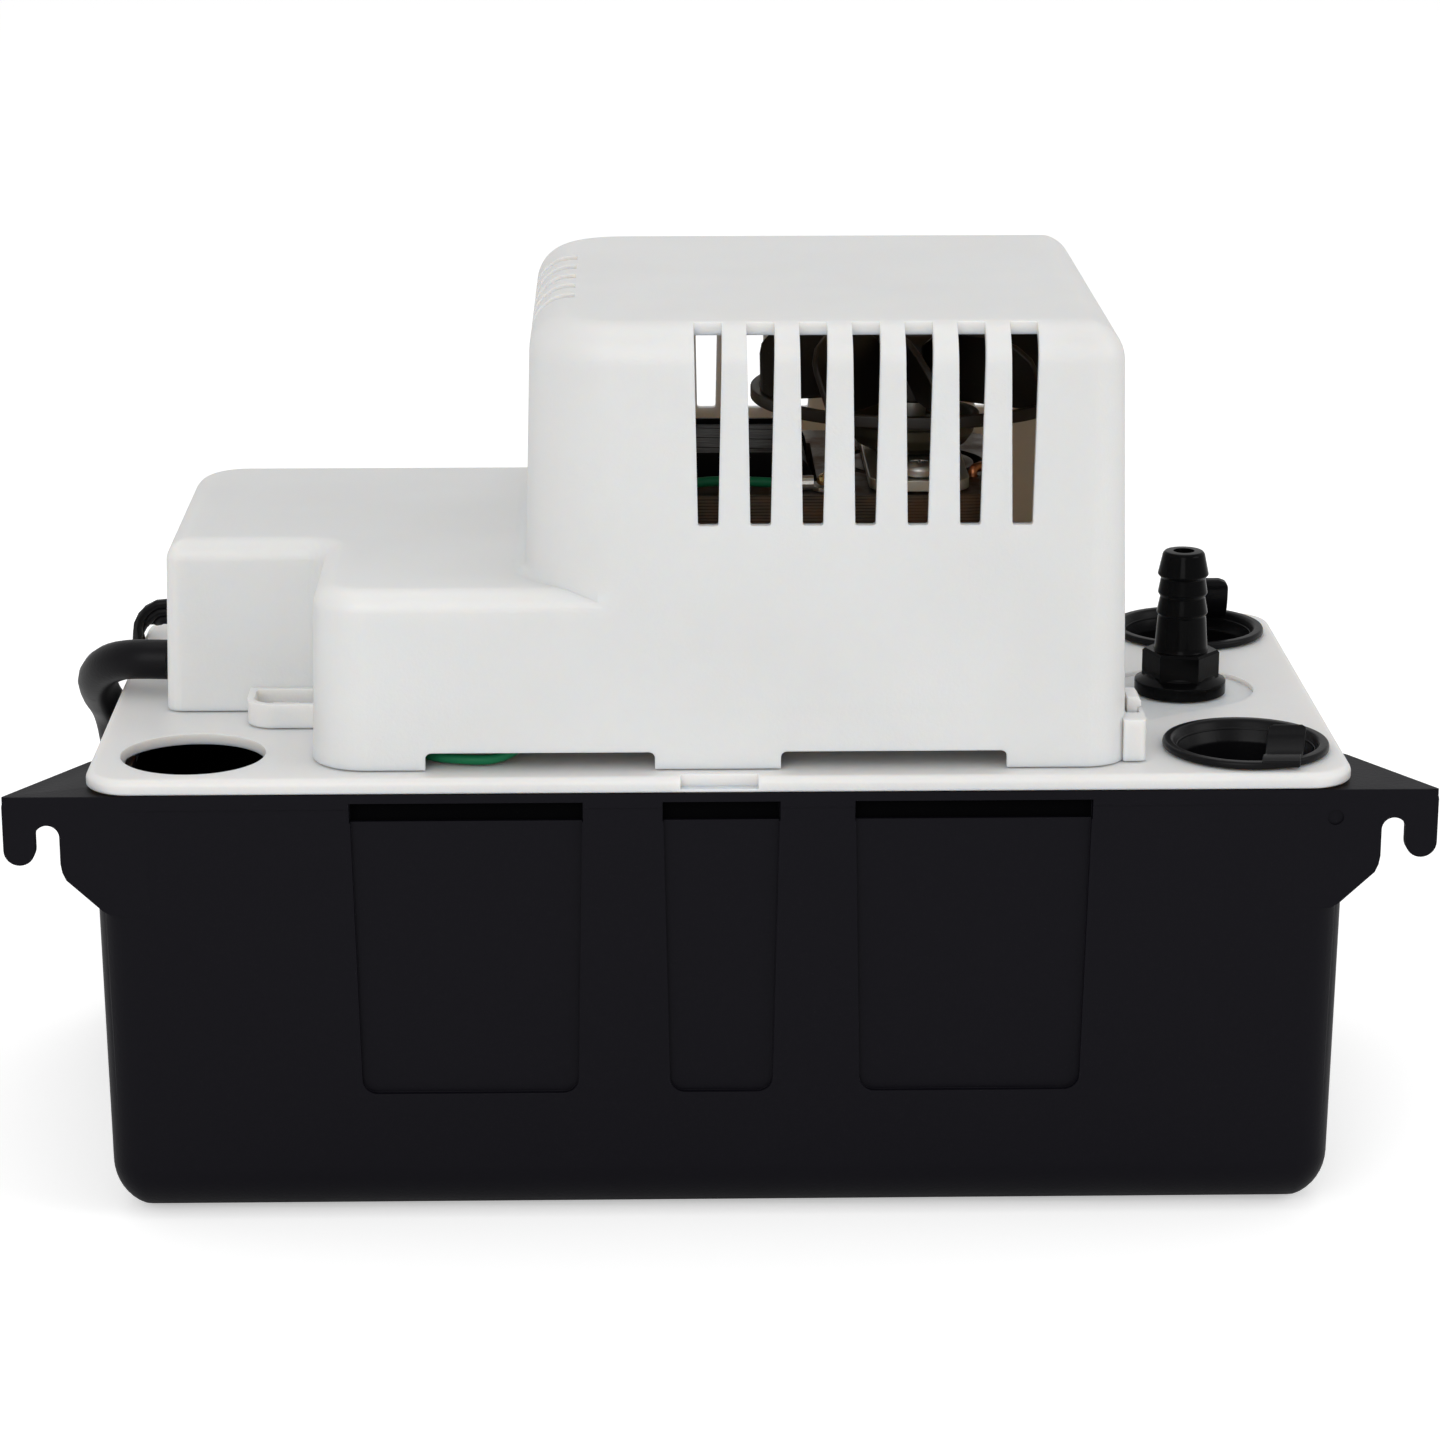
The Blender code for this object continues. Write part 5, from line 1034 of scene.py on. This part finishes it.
class PUMP_OT_deck(bpy.types.Operator):
    """Makes the deck with its holes, recess, posts and latch fingers"""

    bl_idname = "pump.deck"
    bl_label = "Deck"

    def execute(self, context):
        lip = TANK_HEIGHT + 0.3
        under = DECK_TOP - 2.2
        skirt = ((4.7, under), (4.7, under - 6.2), (2.9, under - 6.2), (2.9, lip))
        rings = [tank_ring(inset, z) for inset, z in skirt]
        box = rectangle(-124.4, 123.8, -63.5, 63.5)
        rings.append(at_height(rounded(box, [DECK_CORNER] * 4, 0.35), lip))
        rings.append(at_height(rounded(box, [DECK_CORNER] * 4), lip + 0.35))
        for step in range(9):
            turn = 0.5 * pi * step / 8
            outline = rounded(box, [DECK_CORNER] * 4, DECK_EDGE * (1 - cos(turn)))
            rings.append(at_height(outline, DECK_TOP - DECK_EDGE + DECK_EDGE * sin(turn)))
        deck = lofted("deck_plate", rings)
        low = DECK_TOP - 0.9
        for side in (-1, 1):
            join(deck, rod("post", "XY", (SHAFT[0], side * MOTOR_SCREW_Y), 4.6, low, MOTOR_SEAT))
            join(deck, rod("post", "XY", (-34.0, -4.0 + 8 * side), 1.9, low, DECK_TOP + 14))
        for x, y in SWITCH_SCREWS:
            join(deck, block("pad", x - 6, x + 6, y - 3, y + 3, low, 94.7))
        for y0, y1 in ((3.2, 5.7), (34.3, 36.8)):
            outline = [(-75, under + 0.6), (-74, 80), (-72, 78), (-68, 78), (-66, 80), (-65, under + 0.6)]
            join(deck, prism("lug", outline, "XZ", y0, y1))
        finger = [(80.3, low), (82.3, low), (82.3, 101.7), (83.0, 101.9), (83.0, 102.9), (82.4, 103.7)]
        finger.append((80.3, 103.7))
        join(deck, prism("finger", finger, "XZ", -47.6, -40.4))
        join(deck, block("finger", -90.2, -85.0, -25.8, -24.0, low, DECK_TOP + 4.6))
        for x, y in INLETS:
            cut(deck, rod("hole", "XY", (x, y), INLET_RADIUS, DECK_TOP - 12, DECK_TOP + 3, steps=96))
            cut(deck, rod("gap", "XY", (x, y), INLET_RADIUS + 6.0, DECK_TOP - 12, lip - 0.2, steps=96))
        cut(deck, block("notch", -8.2, 7.0, -67.5, -61.2, lip + 0.6, DECK_TOP + 4))
        recess = []
        for (x, y), start in (((76.6, -12.6), -0.5 * pi), (FITTING, 0.5 * pi)):
            for step in range(33):
                angle = atan2(-9.7, -15.7) + start + pi * step / 32
                recess.append((x + 15.3 * cos(angle), y + 15.3 * sin(angle)))
        recess.reverse()
        cut(deck, prism("recess", recess, "XY", DECK_TOP - 1.0, DECK_TOP + 0.5))
        for centre, radius, z0, z1 in (
            (FITTING, 6.6, 84, 95), (SHAFT, 5.5, 84, 95), ((25.0, 0.0), 1.8, 80, 100),
            ((55.0, 0.0), 1.8, 80, 100), ((SHAFT[0], -MOTOR_SCREW_Y), 2.0, 98, 120),
            ((SHAFT[0], MOTOR_SCREW_Y), 2.0, 98, 120), (SWITCH_SCREWS[0], 1.5, 80, 100),
            (SWITCH_SCREWS[1], 1.5, 80, 100),
        ):
            cut(deck, rod("bore", "XY", centre, radius, z0, z1))
        cut(deck, block("slot", -79.4, -69.0, 25.2, 30.8, 85, 96))
        cut(deck, rod("pin", "XZ", (-70.0, 83.0), 1.8, -2.0, 42.0))
        crisp(deck, 0.00025, 32.0)
        finished(deck, BASE, "deck", "deck")
        return {"FINISHED"}


# ---------------------------------------------------------------- cover

def low_cover(name, wall, bottom):
    """The cover's low body, moved in by wall: drafted sides that curl over into the top."""
    top = COVER_LOW_TOP - wall
    edge = 4.3 - 0.5 * wall
    rings = []
    levels = [(bottom, 0.0)]
    for step in range(11):
        turn = 0.5 * pi * step / 10
        levels.append((top - edge + edge * sin(turn), edge * (1 - cos(turn))))
    for z, curl in levels:
        inset = wall + COVER_DRAFT * (z - COVER_BOTTOM) + curl
        rings.append(at_height(rounded(COVER_LOW, COVER_LOW_RADII, inset), z))
    return lofted(name, rings)


def high_ring(z, wall, inset):
    """One ring of the tall body; its left side flares out to meet the low top in a hollow fillet."""
    rise = max(z - (COVER_LOW_TOP - wall), 0.0)
    hollow = COVER_FILLET + wall
    flare = 0.0
    if rise < hollow:
        flare = hollow - (hollow**2 - (hollow - rise) ** 2) ** 0.5
    box = rectangle(COVER_HIGH_LEFT - flare, 79.74, -58.44, 58.34)
    radii = [COVER_HIGH_CORNER + flare, COVER_LOW_RADII[1], COVER_LOW_RADII[2], COVER_HIGH_CORNER + flare]
    return at_height(rounded(box, radii, wall + COVER_DRAFT * (z - COVER_BOTTOM) + inset, arc=14), z)


def high_cover(name, wall, bottom):
    """The cover's tall body over the motor, moved in by wall."""
    top = COVER_HIGH_TOP - wall
    edge = 7.6 - 0.5 * wall
    rings = [high_ring(bottom, wall, 0.0)]
    for step in range(15):
        rise = (COVER_FILLET + wall) * (1 - cos(0.5 * pi * step / 14))
        rings.append(high_ring(COVER_LOW_TOP - wall + rise, wall, 0.0))
    for step in range(15):
        turn = 0.5 * pi * step / 14
        rings.append(high_ring(top - edge + edge * sin(turn), wall, edge * (1 - cos(turn))))
    return lofted(name, rings)


def louvres(name, first, near, far):
    """The cutters of one row of slots, each narrower at its foot and running in over the top edge."""
    size = sizes()
    width = 1000 * size.louvre_width
    foot, head = 0.5 * (width - LOUVRE_TAPER), 0.5 * (width + LOUVRE_TAPER)
    low, past = LOUVRE_FOOT, COVER_HIGH_TOP + 4
    outline = [(first - foot + 0.5, low), (first + foot - 0.5, low), (first + foot - 0.1, low + 0.15)]
    outline += [(first + foot, low + 0.5), (first + head, past), (first - head, past)]
    outline += [(first - foot, low + 0.5), (first - foot + 0.1, low + 0.15)]
    slot = prism("slot", outline, "XZ", near, far)
    return repeated(name, slot, size.louvre_count, (1000 * size.louvre_pitch, 0.0, 0.0))


class PUMP_OT_cover(bpy.types.Operator):
    """Makes the louvred motor cover"""

    bl_idname = "pump.cover"
    bl_label = "Motor cover"

    def execute(self, context):
        size = sizes()
        wall = 1000 * size.cover_wall
        low = COVER_BOTTOM
        cover = low_cover("cover_shell", 0.0, low)
        join(cover, high_cover("tall", 0.0, low + 12))
        loop = rounded(rectangle(-95.5, -79.3, -28.0, -13.8), (5.5, 0.5, 0.5, 0.5))
        join(cover, prism("loop", loop, "XY", low, DECK_TOP + 5.2))
        loop = rounded(rectangle(78.9, 83.4, -54.8, -37.5), (0.5, 1.2, 1.2, 0.5))
        join(cover, prism("loop", loop, "XY", low, DECK_TOP + 8.6))
        cut(cover, low_cover("hollow", wall, low - 3), high_cover("hollow", wall, low + 15))
        slot = rounded(rectangle(-94.1, -81.6, -26.6, -16.4), (4.2, 0.5, 0.5, 0.5))
        cut(cover, prism("slot", slot, "XY", 85, 110), block("slot", 79.9, 82.6, -49.0, -39.0, 85, 110))
        front, back = COVER_LOW[0][1], COVER_LOW[2][1]
        cut(cover, louvres("front", LOUVRE_FIRST, front - 8, front + 8.0))
        cut(cover, louvres("rear", LOUVRE_FIRST + 1.6, back - 8.0, back + 8))
        end = rounded(rectangle(-24.2, -19.8, LOUVRE_FOOT, COVER_HIGH_TOP + 4), [0.5] * 4, arc=3)
        ends = prism("slot", end, "YZ", COVER_HIGH_LEFT - 14, COVER_HIGH_LEFT + 10.8)
        cut(cover, repeated("end", ends, 5, (0.0, 11.0, 0.0)))
        for x0, x1 in ((-57.9, -13.1), (11.5, 55.7)):
            outline = [(x0, low - 2), (x1, low - 2)] + arc((x1 - 1.2, low + 2.2), 1.2, 0, 90, 5)
            outline += arc((x0 + 1.2, low + 2.2), 1.2, 90, 180, 5)
            cut(cover, prism("notch", outline, "XZ", front - 5, front + 5))
        cut(cover, rod("hole", "YZ", (0.0, CORD_Z), 5.2, WALL_X - 5, WALL_X + 5))
        cut(cover, rod("hole", "YZ", (LEAD_Y, CORD_Z), 2.1, WALL_X - 5, WALL_X + 5))
        crisp(cover, 0.00025, 32.0)
        finished(cover, BASE, "cover", "motor_cover")
        return {"FINISHED"}


# ---------------------------------------------------------------- motor

def screw(name, centre, head_z, shank, foot, head=3.3, tall=2.6):
    """A pan-head screw with a cross recess."""
    top = head_z + tall
    profile = [(0.0, top + 0.25), (head * 0.5, top + 0.12), (head * 0.85, top - 0.5), (head, top - 1.2)]
    profile += [(head, head_z), (shank, head_z), (shank, foot + 0.6), (shank - 0.5, foot), (0.0, foot)]
    made = turned(name, softened(profile, 0.25), centre, steps=40)
    x, y = centre
    reach = head * 0.55
    cross = block("cross", x - reach, x + reach, y - 0.35, y + 0.35, top - 1.0, top + 1)
    join(cross, block("cross", x - 0.35, x + 0.35, y - reach, y + reach, top - 1.0, top + 1))
    cut(made, cross)
    crisp(made, 0.0)
    return made


def shading_place(angle):
    """The hole of a shading ring at that angle, in degrees round the shaft."""
    return SHAFT[0] + SHADING_RADIUS * cos(radians(angle)), SHAFT[1] + SHADING_RADIUS * sin(radians(angle))


def copper_loop(name, first, second):
    """A shading ring: a closed copper loop through two holes of the stack."""
    ends = [Vector((*shading_place(angle), 0.0)) for angle in (first, second)]
    along = (ends[1] - ends[0]).normalized()
    across = Vector((-along.y, along.x, 0.0))
    low, high = STACK_BOTTOM - 1.5, STACK_TOP + 1.5
    path = []
    corners = ((0, low, pi), (1, low, 1.5 * pi), (1, high, 0.0), (0, high, 0.5 * pi))
    for end, z, start in corners:
        place = ends[end]
        inward = along if place == ends[0] else -along
        rise = 1 if z == low else -1
        centre = place + inward * 0.9 + Vector((0, 0, z + rise * 0.9))
        for step in range(5):
            angle = start + 0.5 * pi * step / 4
            path.append(centre + along * 0.9 * cos(angle) + Vector((0, 0, 0.9 * sin(angle))))
    rings = []
    count = len(path)
    for i, place in enumerate(path):
        ahead = (path[(i + 1) % count] - path[i - 1]).normalized()
        outward = across.cross(ahead)
        ring = []
        for k in range(14):
            angle = 2 * pi * k / 14
            ring.append(place + across * 0.98 * cos(angle) + outward * 0.98 * sin(angle))
        rings.append(ring)
    return lofted(name, rings, "copper", closed=True)


class PUMP_OT_motor(bpy.types.Operator):
    """Makes the motor: stack, coil, brackets, bearings, screws, rotor, shaft, fan and wiring"""

    bl_idname = "pump.motor"
    bl_label = "Motor"

    def execute(self, context):
        x, y = SHAFT
        outer = rounded(rectangle(-7.0, 57.6, -31.0, 31.0), (2.0, 9.0, 9.0, 2.0))
        core = prism("stack", outer, "XY", STACK_BOTTOM, STACK_TOP)
        cut(core, block("window", 7.0, 20.0, -18.0, 18.0, 110, 150))
        cut(core, rod("bore", "XY", SHAFT, 15.2, 110, 150, steps=96))
        for angles in SHADING.values():
            for angle in angles:
                cut(core, rod("hole", "XY", shading_place(angle), 1.3, 110, 150, steps=24))
        for side in (-1, 1):
            cut(core, rod("hole", "XY", (x, side * MOTOR_SCREW_Y), 2.0, 110, 150, steps=32))
        cut(core, rod("hole", "XY", GROUND_SCREW, 1.8, STACK_TOP - 8, 150, steps=32))
        crisp(core, 0.0002)
        finished(core, BASE, "laminations", "stator_core")
        for node, angles in SHADING.items():
            finished(copper_loop(f"{node}_wire", *angles), BASE, "copper", node)

        tube = rectangle(-8.5, 8.5, 116.5, 142.5)
        bobbin = prism("bobbin", tube, "XZ", -17.2, 17.2)
        for y0, y1 in ((-17.2, -15.8), (15.8, 17.2)):
            cheek = rounded(rectangle(-19.2, 19.2, 112.3, 146.7), [6.0] * 4)
            join(bobbin, prism("cheek", cheek, "XZ", y0, y1))
        cut(bobbin, prism("opening", rectangle(-7.3, 7.3, 117.7, 141.3), "XZ", -20, 20))
        crisp(bobbin, 0.0003)
        finished(bobbin, BASE, "tape", "coil_bobbin")
        rings = []
        swell = [(-15.5, 1.6), (-15.0, 0.6), (-14.0, 0.1), (-8.0, 0.0)]
        for y, inset in swell + [(-y, inset) for y, inset in reversed(swell)]:
            outline = rounded(rectangle(-18.7, 18.7, 112.9, 146.1), [6.0] * 4, inset)
            rings.append([(a, y, b) for a, b in outline])
        coil = lofted("taped_coil", rings, smooth=50.0)
        cut(coil, prism("core", rectangle(-8.8, 8.8, 116.2, 142.8), "XZ", -20, 20))
        crisp(coil, 0.0)
        finished(coil, BASE, "tape", "coil_winding")

        for node, low in (("upper_bracket", STACK_TOP + 0.6), ("lower_bracket", STACK_BOTTOM - 2.8)):
            outline = rounded(rectangle(30.0, 50.0, -31.0, 31.0), [5.0] * 4)
            plate = prism(node + "_plate", outline, "XY", low, low + 2.2)
            cut(plate, rod("hole", "XY", SHAFT, 5.0, low - 1, low + 5))
            for side in (-1, 1):
                cut(plate, rod("hole", "XY", (x, side * MOTOR_SCREW_Y), 2.0, low - 1, low + 5))
            crisp(plate, 0.0003)
            finished(plate, BASE, "bracket", node)
        shape = [(12.4, 7.6), (14.0, 7.6), (14.0, 6.2), (13.1, 5.8), (12.8, 3.6), (11.2, 1.4)]
        shape += [(8.4, 0.0), (3.3, 0.0), (3.3, 5.8), (11.8, 4.6)]
        for node, foot, rise in (("upper_bearing", SCREW_SEAT, 1), ("lower_bearing", MOTOR_SEAT, -1)):
            profile = softened([(r, foot + rise * z) for r, z in shape], 0.5, loop=True)
            finished(turned(node + "_cup", profile, SHAFT, bored=True), BASE, "bearing", node)
        for node, side in (("motor_screw_front", -1), ("motor_screw_rear", 1)):
            made = screw(node + "_pan", (x, side * MOTOR_SCREW_Y), SCREW_SEAT, 1.7, 100.0)
            finished(made, BASE, "steel", node)
        made = screw("ground_pan", GROUND_SCREW, 142.4, 1.5, 135.0, 3.0, 2.0)
        finished(made, BASE, "brass", "ground_screw")

        rotor = [(3.3, 141.0), (12.9, 141.0), (13.4, 139.0), (14.9, 138.6)]
        rotor += [(14.9, 120.4), (13.4, 120.0), (12.9, 118.0), (3.3, 118.0)]
        finished(turned("rotor_drum", rotor, SHAFT, bored=True), "rotor_body", "laminations", "rotor")
        top = 165.8
        shaft = [(0.0, top), (2.6, top), (3.0, top - 0.4), (3.0, 12.9), (2.6, 12.5), (0.0, 12.5)]
        finished(turned("shaft_bar", shaft, SHAFT), "rotor_body", "steel", "shaft")

        hub = [(0.0, 168.1), (5.4, 168.1), (7.0, 166.5), (7.4, FAN_BOTTOM), (3.3, FAN_BOTTOM)]
        hub += [(3.3, 166.1), (0.0, 166.1)]
        hub_piece = turned("hub", softened(hub, 0.6), SHAFT)
        rim = [(FAN_RADIUS, 157.0), (FAN_RADIUS, FAN_BOTTOM), (31.0, FAN_BOTTOM), (31.2, 157.0)]
        rim_piece = turned("rim", softened(rim, 0.3, loop=True), SHAFT, bored=True)
        height = FAN_TOP - FAN_BOTTOM
        outline = [(5.0, 0.6), (31.6, 0.6), (30.9, 0.60 * height), (30.3, 0.72 * height)]
        outline += [(27.5, 0.88 * height), (22.0, height), (13.0, height)]
        outline += [(9.0, 0.92 * height), (6.0, 0.78 * height), (5.0, 0.62 * height)]
        blade = prism("blade", outline, "XZ", -0.65, 0.65)
        crisp(blade, 0.0003)
        blade.data.transform(Matrix.Rotation(0.2, 4, "Z") @ Matrix.Rotation(radians(24), 4, "X"))
        blades = sizes().fan_blades
        wheel = repeated("blades", blade, blades, turn=2 * pi / blades, finish="fan")
        wheel.data.transform(Matrix.Translation(Vector((x, SHAFT[1], FAN_BOTTOM)) * MM))
        fan = merged("fan_wheel", [hub_piece, rim_piece, wheel], "fan")
        finished(fan, "rotor_body", "fan", "fan")

        ground = [(-101.5, -2.6, 99.0), (-90, -6.5, 97.2), (-79, -9, 96), (-72, -16, 95.4)]
        ground += [(-66, -36, 94.6), (-59, -50, 93.9), (-51, -54.4, 93.8), (-43, -54.2, 94.2)]
        ground += [(-36.5, -51, 98.5), (-31, -46, 108), (-25, -38, 126), (-16, -30, 139)]
        ground += [(-4, -27, 142.8), (12.5, -26.6, 142.6), (16.0, -26.6, 142.6)]
        wire = swept("earth_wire", smooth_route(ground, 2.0), circle(1.0, 14), "green")
        finished(wire, BASE, "green", "ground_wire")
        for node, kind in (
            ("ring_terminal", "steel"), ("slinger", "rubber"),
            ("motor_lead_neutral", "white_wire"), ("motor_lead_switched", "switch"),
        ):
            paint_node(node, kind)
        return {"FINISHED"}


# ---------------------------------------------------------------- fitting, inlet plugs and inner gear

def pull_strap(stops, middle, half, lean, corner):
    """A rubber strap along (y, z) stops, leaning right as it goes back, with a rounded free end."""
    path = smooth_route([(0.0, y, z) for y, z in stops], 0.5)
    left = [sum((b - a).length for a, b in zip(path[i:], path[i + 1:])) for i in range(len(path))]
    rings = []
    for i, place in enumerate(path):
        ahead = (path[min(i + 1, len(path) - 1)] - path[max(i - 1, 0)]).normalized()
        aside = Vector((0.0, -ahead.z, ahead.y)) * (0.75 if left[i] > 1.6 else 0.95)
        reach = half
        if left[i] < corner:
            reach = half - corner + (corner**2 - (corner - left[i]) ** 2) ** 0.5
        x = middle + lean * (place.y - path[0].y)
        across = Vector((reach, 0.0, 0.0))
        here = place + Vector((x, 0.0, 0.0))
        signs = ((-1, -1), (1, -1), (1, 1), (-1, 1))
        rings.append([here + across * a + aside * b for a, b in signs])
    return lofted("strap", rings)


def inlet_plug(node, centre, strap):
    """A cup that drops into an inlet hole, with the strap that pulls it out."""
    rim = DECK_TOP + 0.3
    outer = INLET_RADIUS - 0.8
    cup = [(0.0, rim - 11.6), (0.0, rim - 10.4), (outer - 1.2, rim - 10.4), (outer - 1.2, rim - 2.5)]
    cup += [(14.4, rim + 1.1), (14.8, rim + 1.45), (16.2, rim + 1.45), (16.5, rim + 1.0), (16.5, rim)]
    cup += [(outer, rim), (outer, rim - 10.4), (outer - 1.0, rim - 11.6)]
    profile = [cup[1]] + softened(cup[1:], 0.4)[1:] + [cup[0]]
    plug = turned(node + "_cup", profile, centre)
    crisp(strap, 0.0003)
    plug = merged(node + "_moulding", [plug, strap], "plug")
    finished(plug, node.replace("inlet_plug_", "") + "_plug_body", "plug", node)


class PUMP_OT_fittings(bpy.types.Operator):
    """Makes the discharge fitting and the loose inlet plugs, and finishes the gear inside the tank"""

    bl_idname = "pump.fittings"
    bl_label = "Fitting and plugs"

    def execute(self, context):
        x, y = FITTING
        flange, top, foot = 91.7, 121.8, 72.7
        barbs = [(0.0, 0.0), (3.9, 0.0), (4.35, 0.5), (5.3, 4.9), (4.6, 5.6), (5.15, 8.8), (4.65, 9.6)]
        barbs += [(5.3, 13.0), (4.95, 13.6), (5.1, 15.0), (5.5, 20.2), (5.7, 21.0), (6.4, 21.4)]
        outside = [(radius, top - depth) for radius, depth in barbs]
        outside += [(6.4, flange + 5.0), (7.4, flange + 3.6), (9.5, flange + 2.6), (9.5, flange)]
        outside += [(6.3, flange), (6.3, foot), (0.0, foot)]
        fitting = turned("barb_fitting", softened(outside, 0.22), FITTING)
        levels = []
        for z, radius in ((2.9, HEX_RADIUS), (8.6, HEX_RADIUS), (9.1, HEX_RADIUS - 0.5)):
            levels.append([
                (x + radius * cos(pi * i / 3 - 0.164), y + radius * sin(pi * i / 3 - 0.164), flange + z)
                for i in range(6)
            ])
        join(fitting, lofted("hexagon", levels))
        bore = [(0.0, top + 2), (2.2, top + 2), (2.2, top - 22), (4.2, top - 25)]
        bore += [(4.2, foot - 2), (0.0, foot - 2)]
        cut(fitting, turned("bore", bore, FITTING))
        crisp(fitting, 0.0003, 40.0)
        finished(fitting, BASE, "fitting", "discharge_fitting")

        rim = DECK_TOP + 0.3
        root = INLETS[1][1] - 16.6
        front = [(0.4, 0.9), (2.0, 1.3), (4.0, 1.3), (6.0, 0.4)]
        front += [(8.5, -0.2), (11.4, 0.3), (14.0, 2.0), (15.9, 4.4)]
        front = [(root + y, rim + z) for y, z in front]
        inlet_plug("inlet_plug_front", INLETS[1], pull_strap(front, 109.0, 3.8, 0.22, 1.0))
        root = INLETS[2][1] + 15.4
        rear = [(-1.4, 0.4), (0.0, 1.2), (0.1, 2.6), (-2.0, 3.4)]
        rear += [(-9.0, 2.6), (-13.6, 3.4), (-16.2, 6.4), (-17.0, 12.1)]
        rear = [(root + y, rim + z) for y, z in rear]
        inlet_plug("inlet_plug_rear", INLETS[2], pull_strap(rear, 108.65, 4.15, 0.0, 2.2))

        for node, kind in (
            ("impeller", "white"), ("pump_column", "white"), ("volute", "white"), ("volute_plate", "white"),
            ("column_screw_left", "steel"), ("column_screw_right", "steel"), ("discharge_hose", "hose"),
            ("fitting_nut", "fitting"), ("fitting_o_ring", "rubber"), ("check_seat", "fitting"),
            ("check_poppet", "white"), ("check_spring", "steel"), ("float", "float"), ("float_arm", "white"),
            ("float_pin", "steel"), ("pump_switch", "switch"), ("pump_switch_lever", "steel"),
            ("pump_switch_button", "button"), ("safety_switch", "switch"), ("safety_switch_button", "button"),
            ("switch_screw_1", "steel"), ("switch_screw_2", "steel"),
        ):
            paint_node(node, kind)
        return {"FINISHED"}


OPERATORS = (
    PUMP_OT_stage, PUMP_OT_cords, PUMP_OT_tank, PUMP_OT_deck, PUMP_OT_cover, PUMP_OT_motor, PUMP_OT_fittings
)


# ---------------------------------------------------------------- panel and run

class PUMP_PT_build(bpy.types.Panel):
    """The pump's sizes, colours and building steps"""

    bl_label = "Condensate Pump"
    bl_space_type = "VIEW_3D"
    bl_region_type = "UI"
    bl_category = "Pump"

    def draw(self, context):
        for group in (sizes(), colours()):
            box = self.layout.box()
            for name in group.bl_rna.properties.keys():
                if name not in ("rna_type", "name"):
                    box.prop(group, name)
        for step in OPERATORS:
            self.layout.operator(step.bl_idname)


CLASSES = (PumpSizes, PumpColours, *OPERATORS, PUMP_PT_build)


def register():
    for kind in CLASSES:
        bpy.utils.register_class(kind)
    bpy.types.Scene.pump_sizes = bpy.props.PointerProperty(type=PumpSizes)
    bpy.types.Scene.pump_colours = bpy.props.PointerProperty(type=PumpColours)


def unregister():
    del bpy.types.Scene.pump_colours
    del bpy.types.Scene.pump_sizes
    for kind in reversed(CLASSES):
        bpy.utils.unregister_class(kind)


def main():
    register()
    for step in OPERATORS:
        group, name = step.bl_idname.split(".")
        getattr(getattr(bpy.ops, group), name)()


if __name__ == "__main__":
    main()
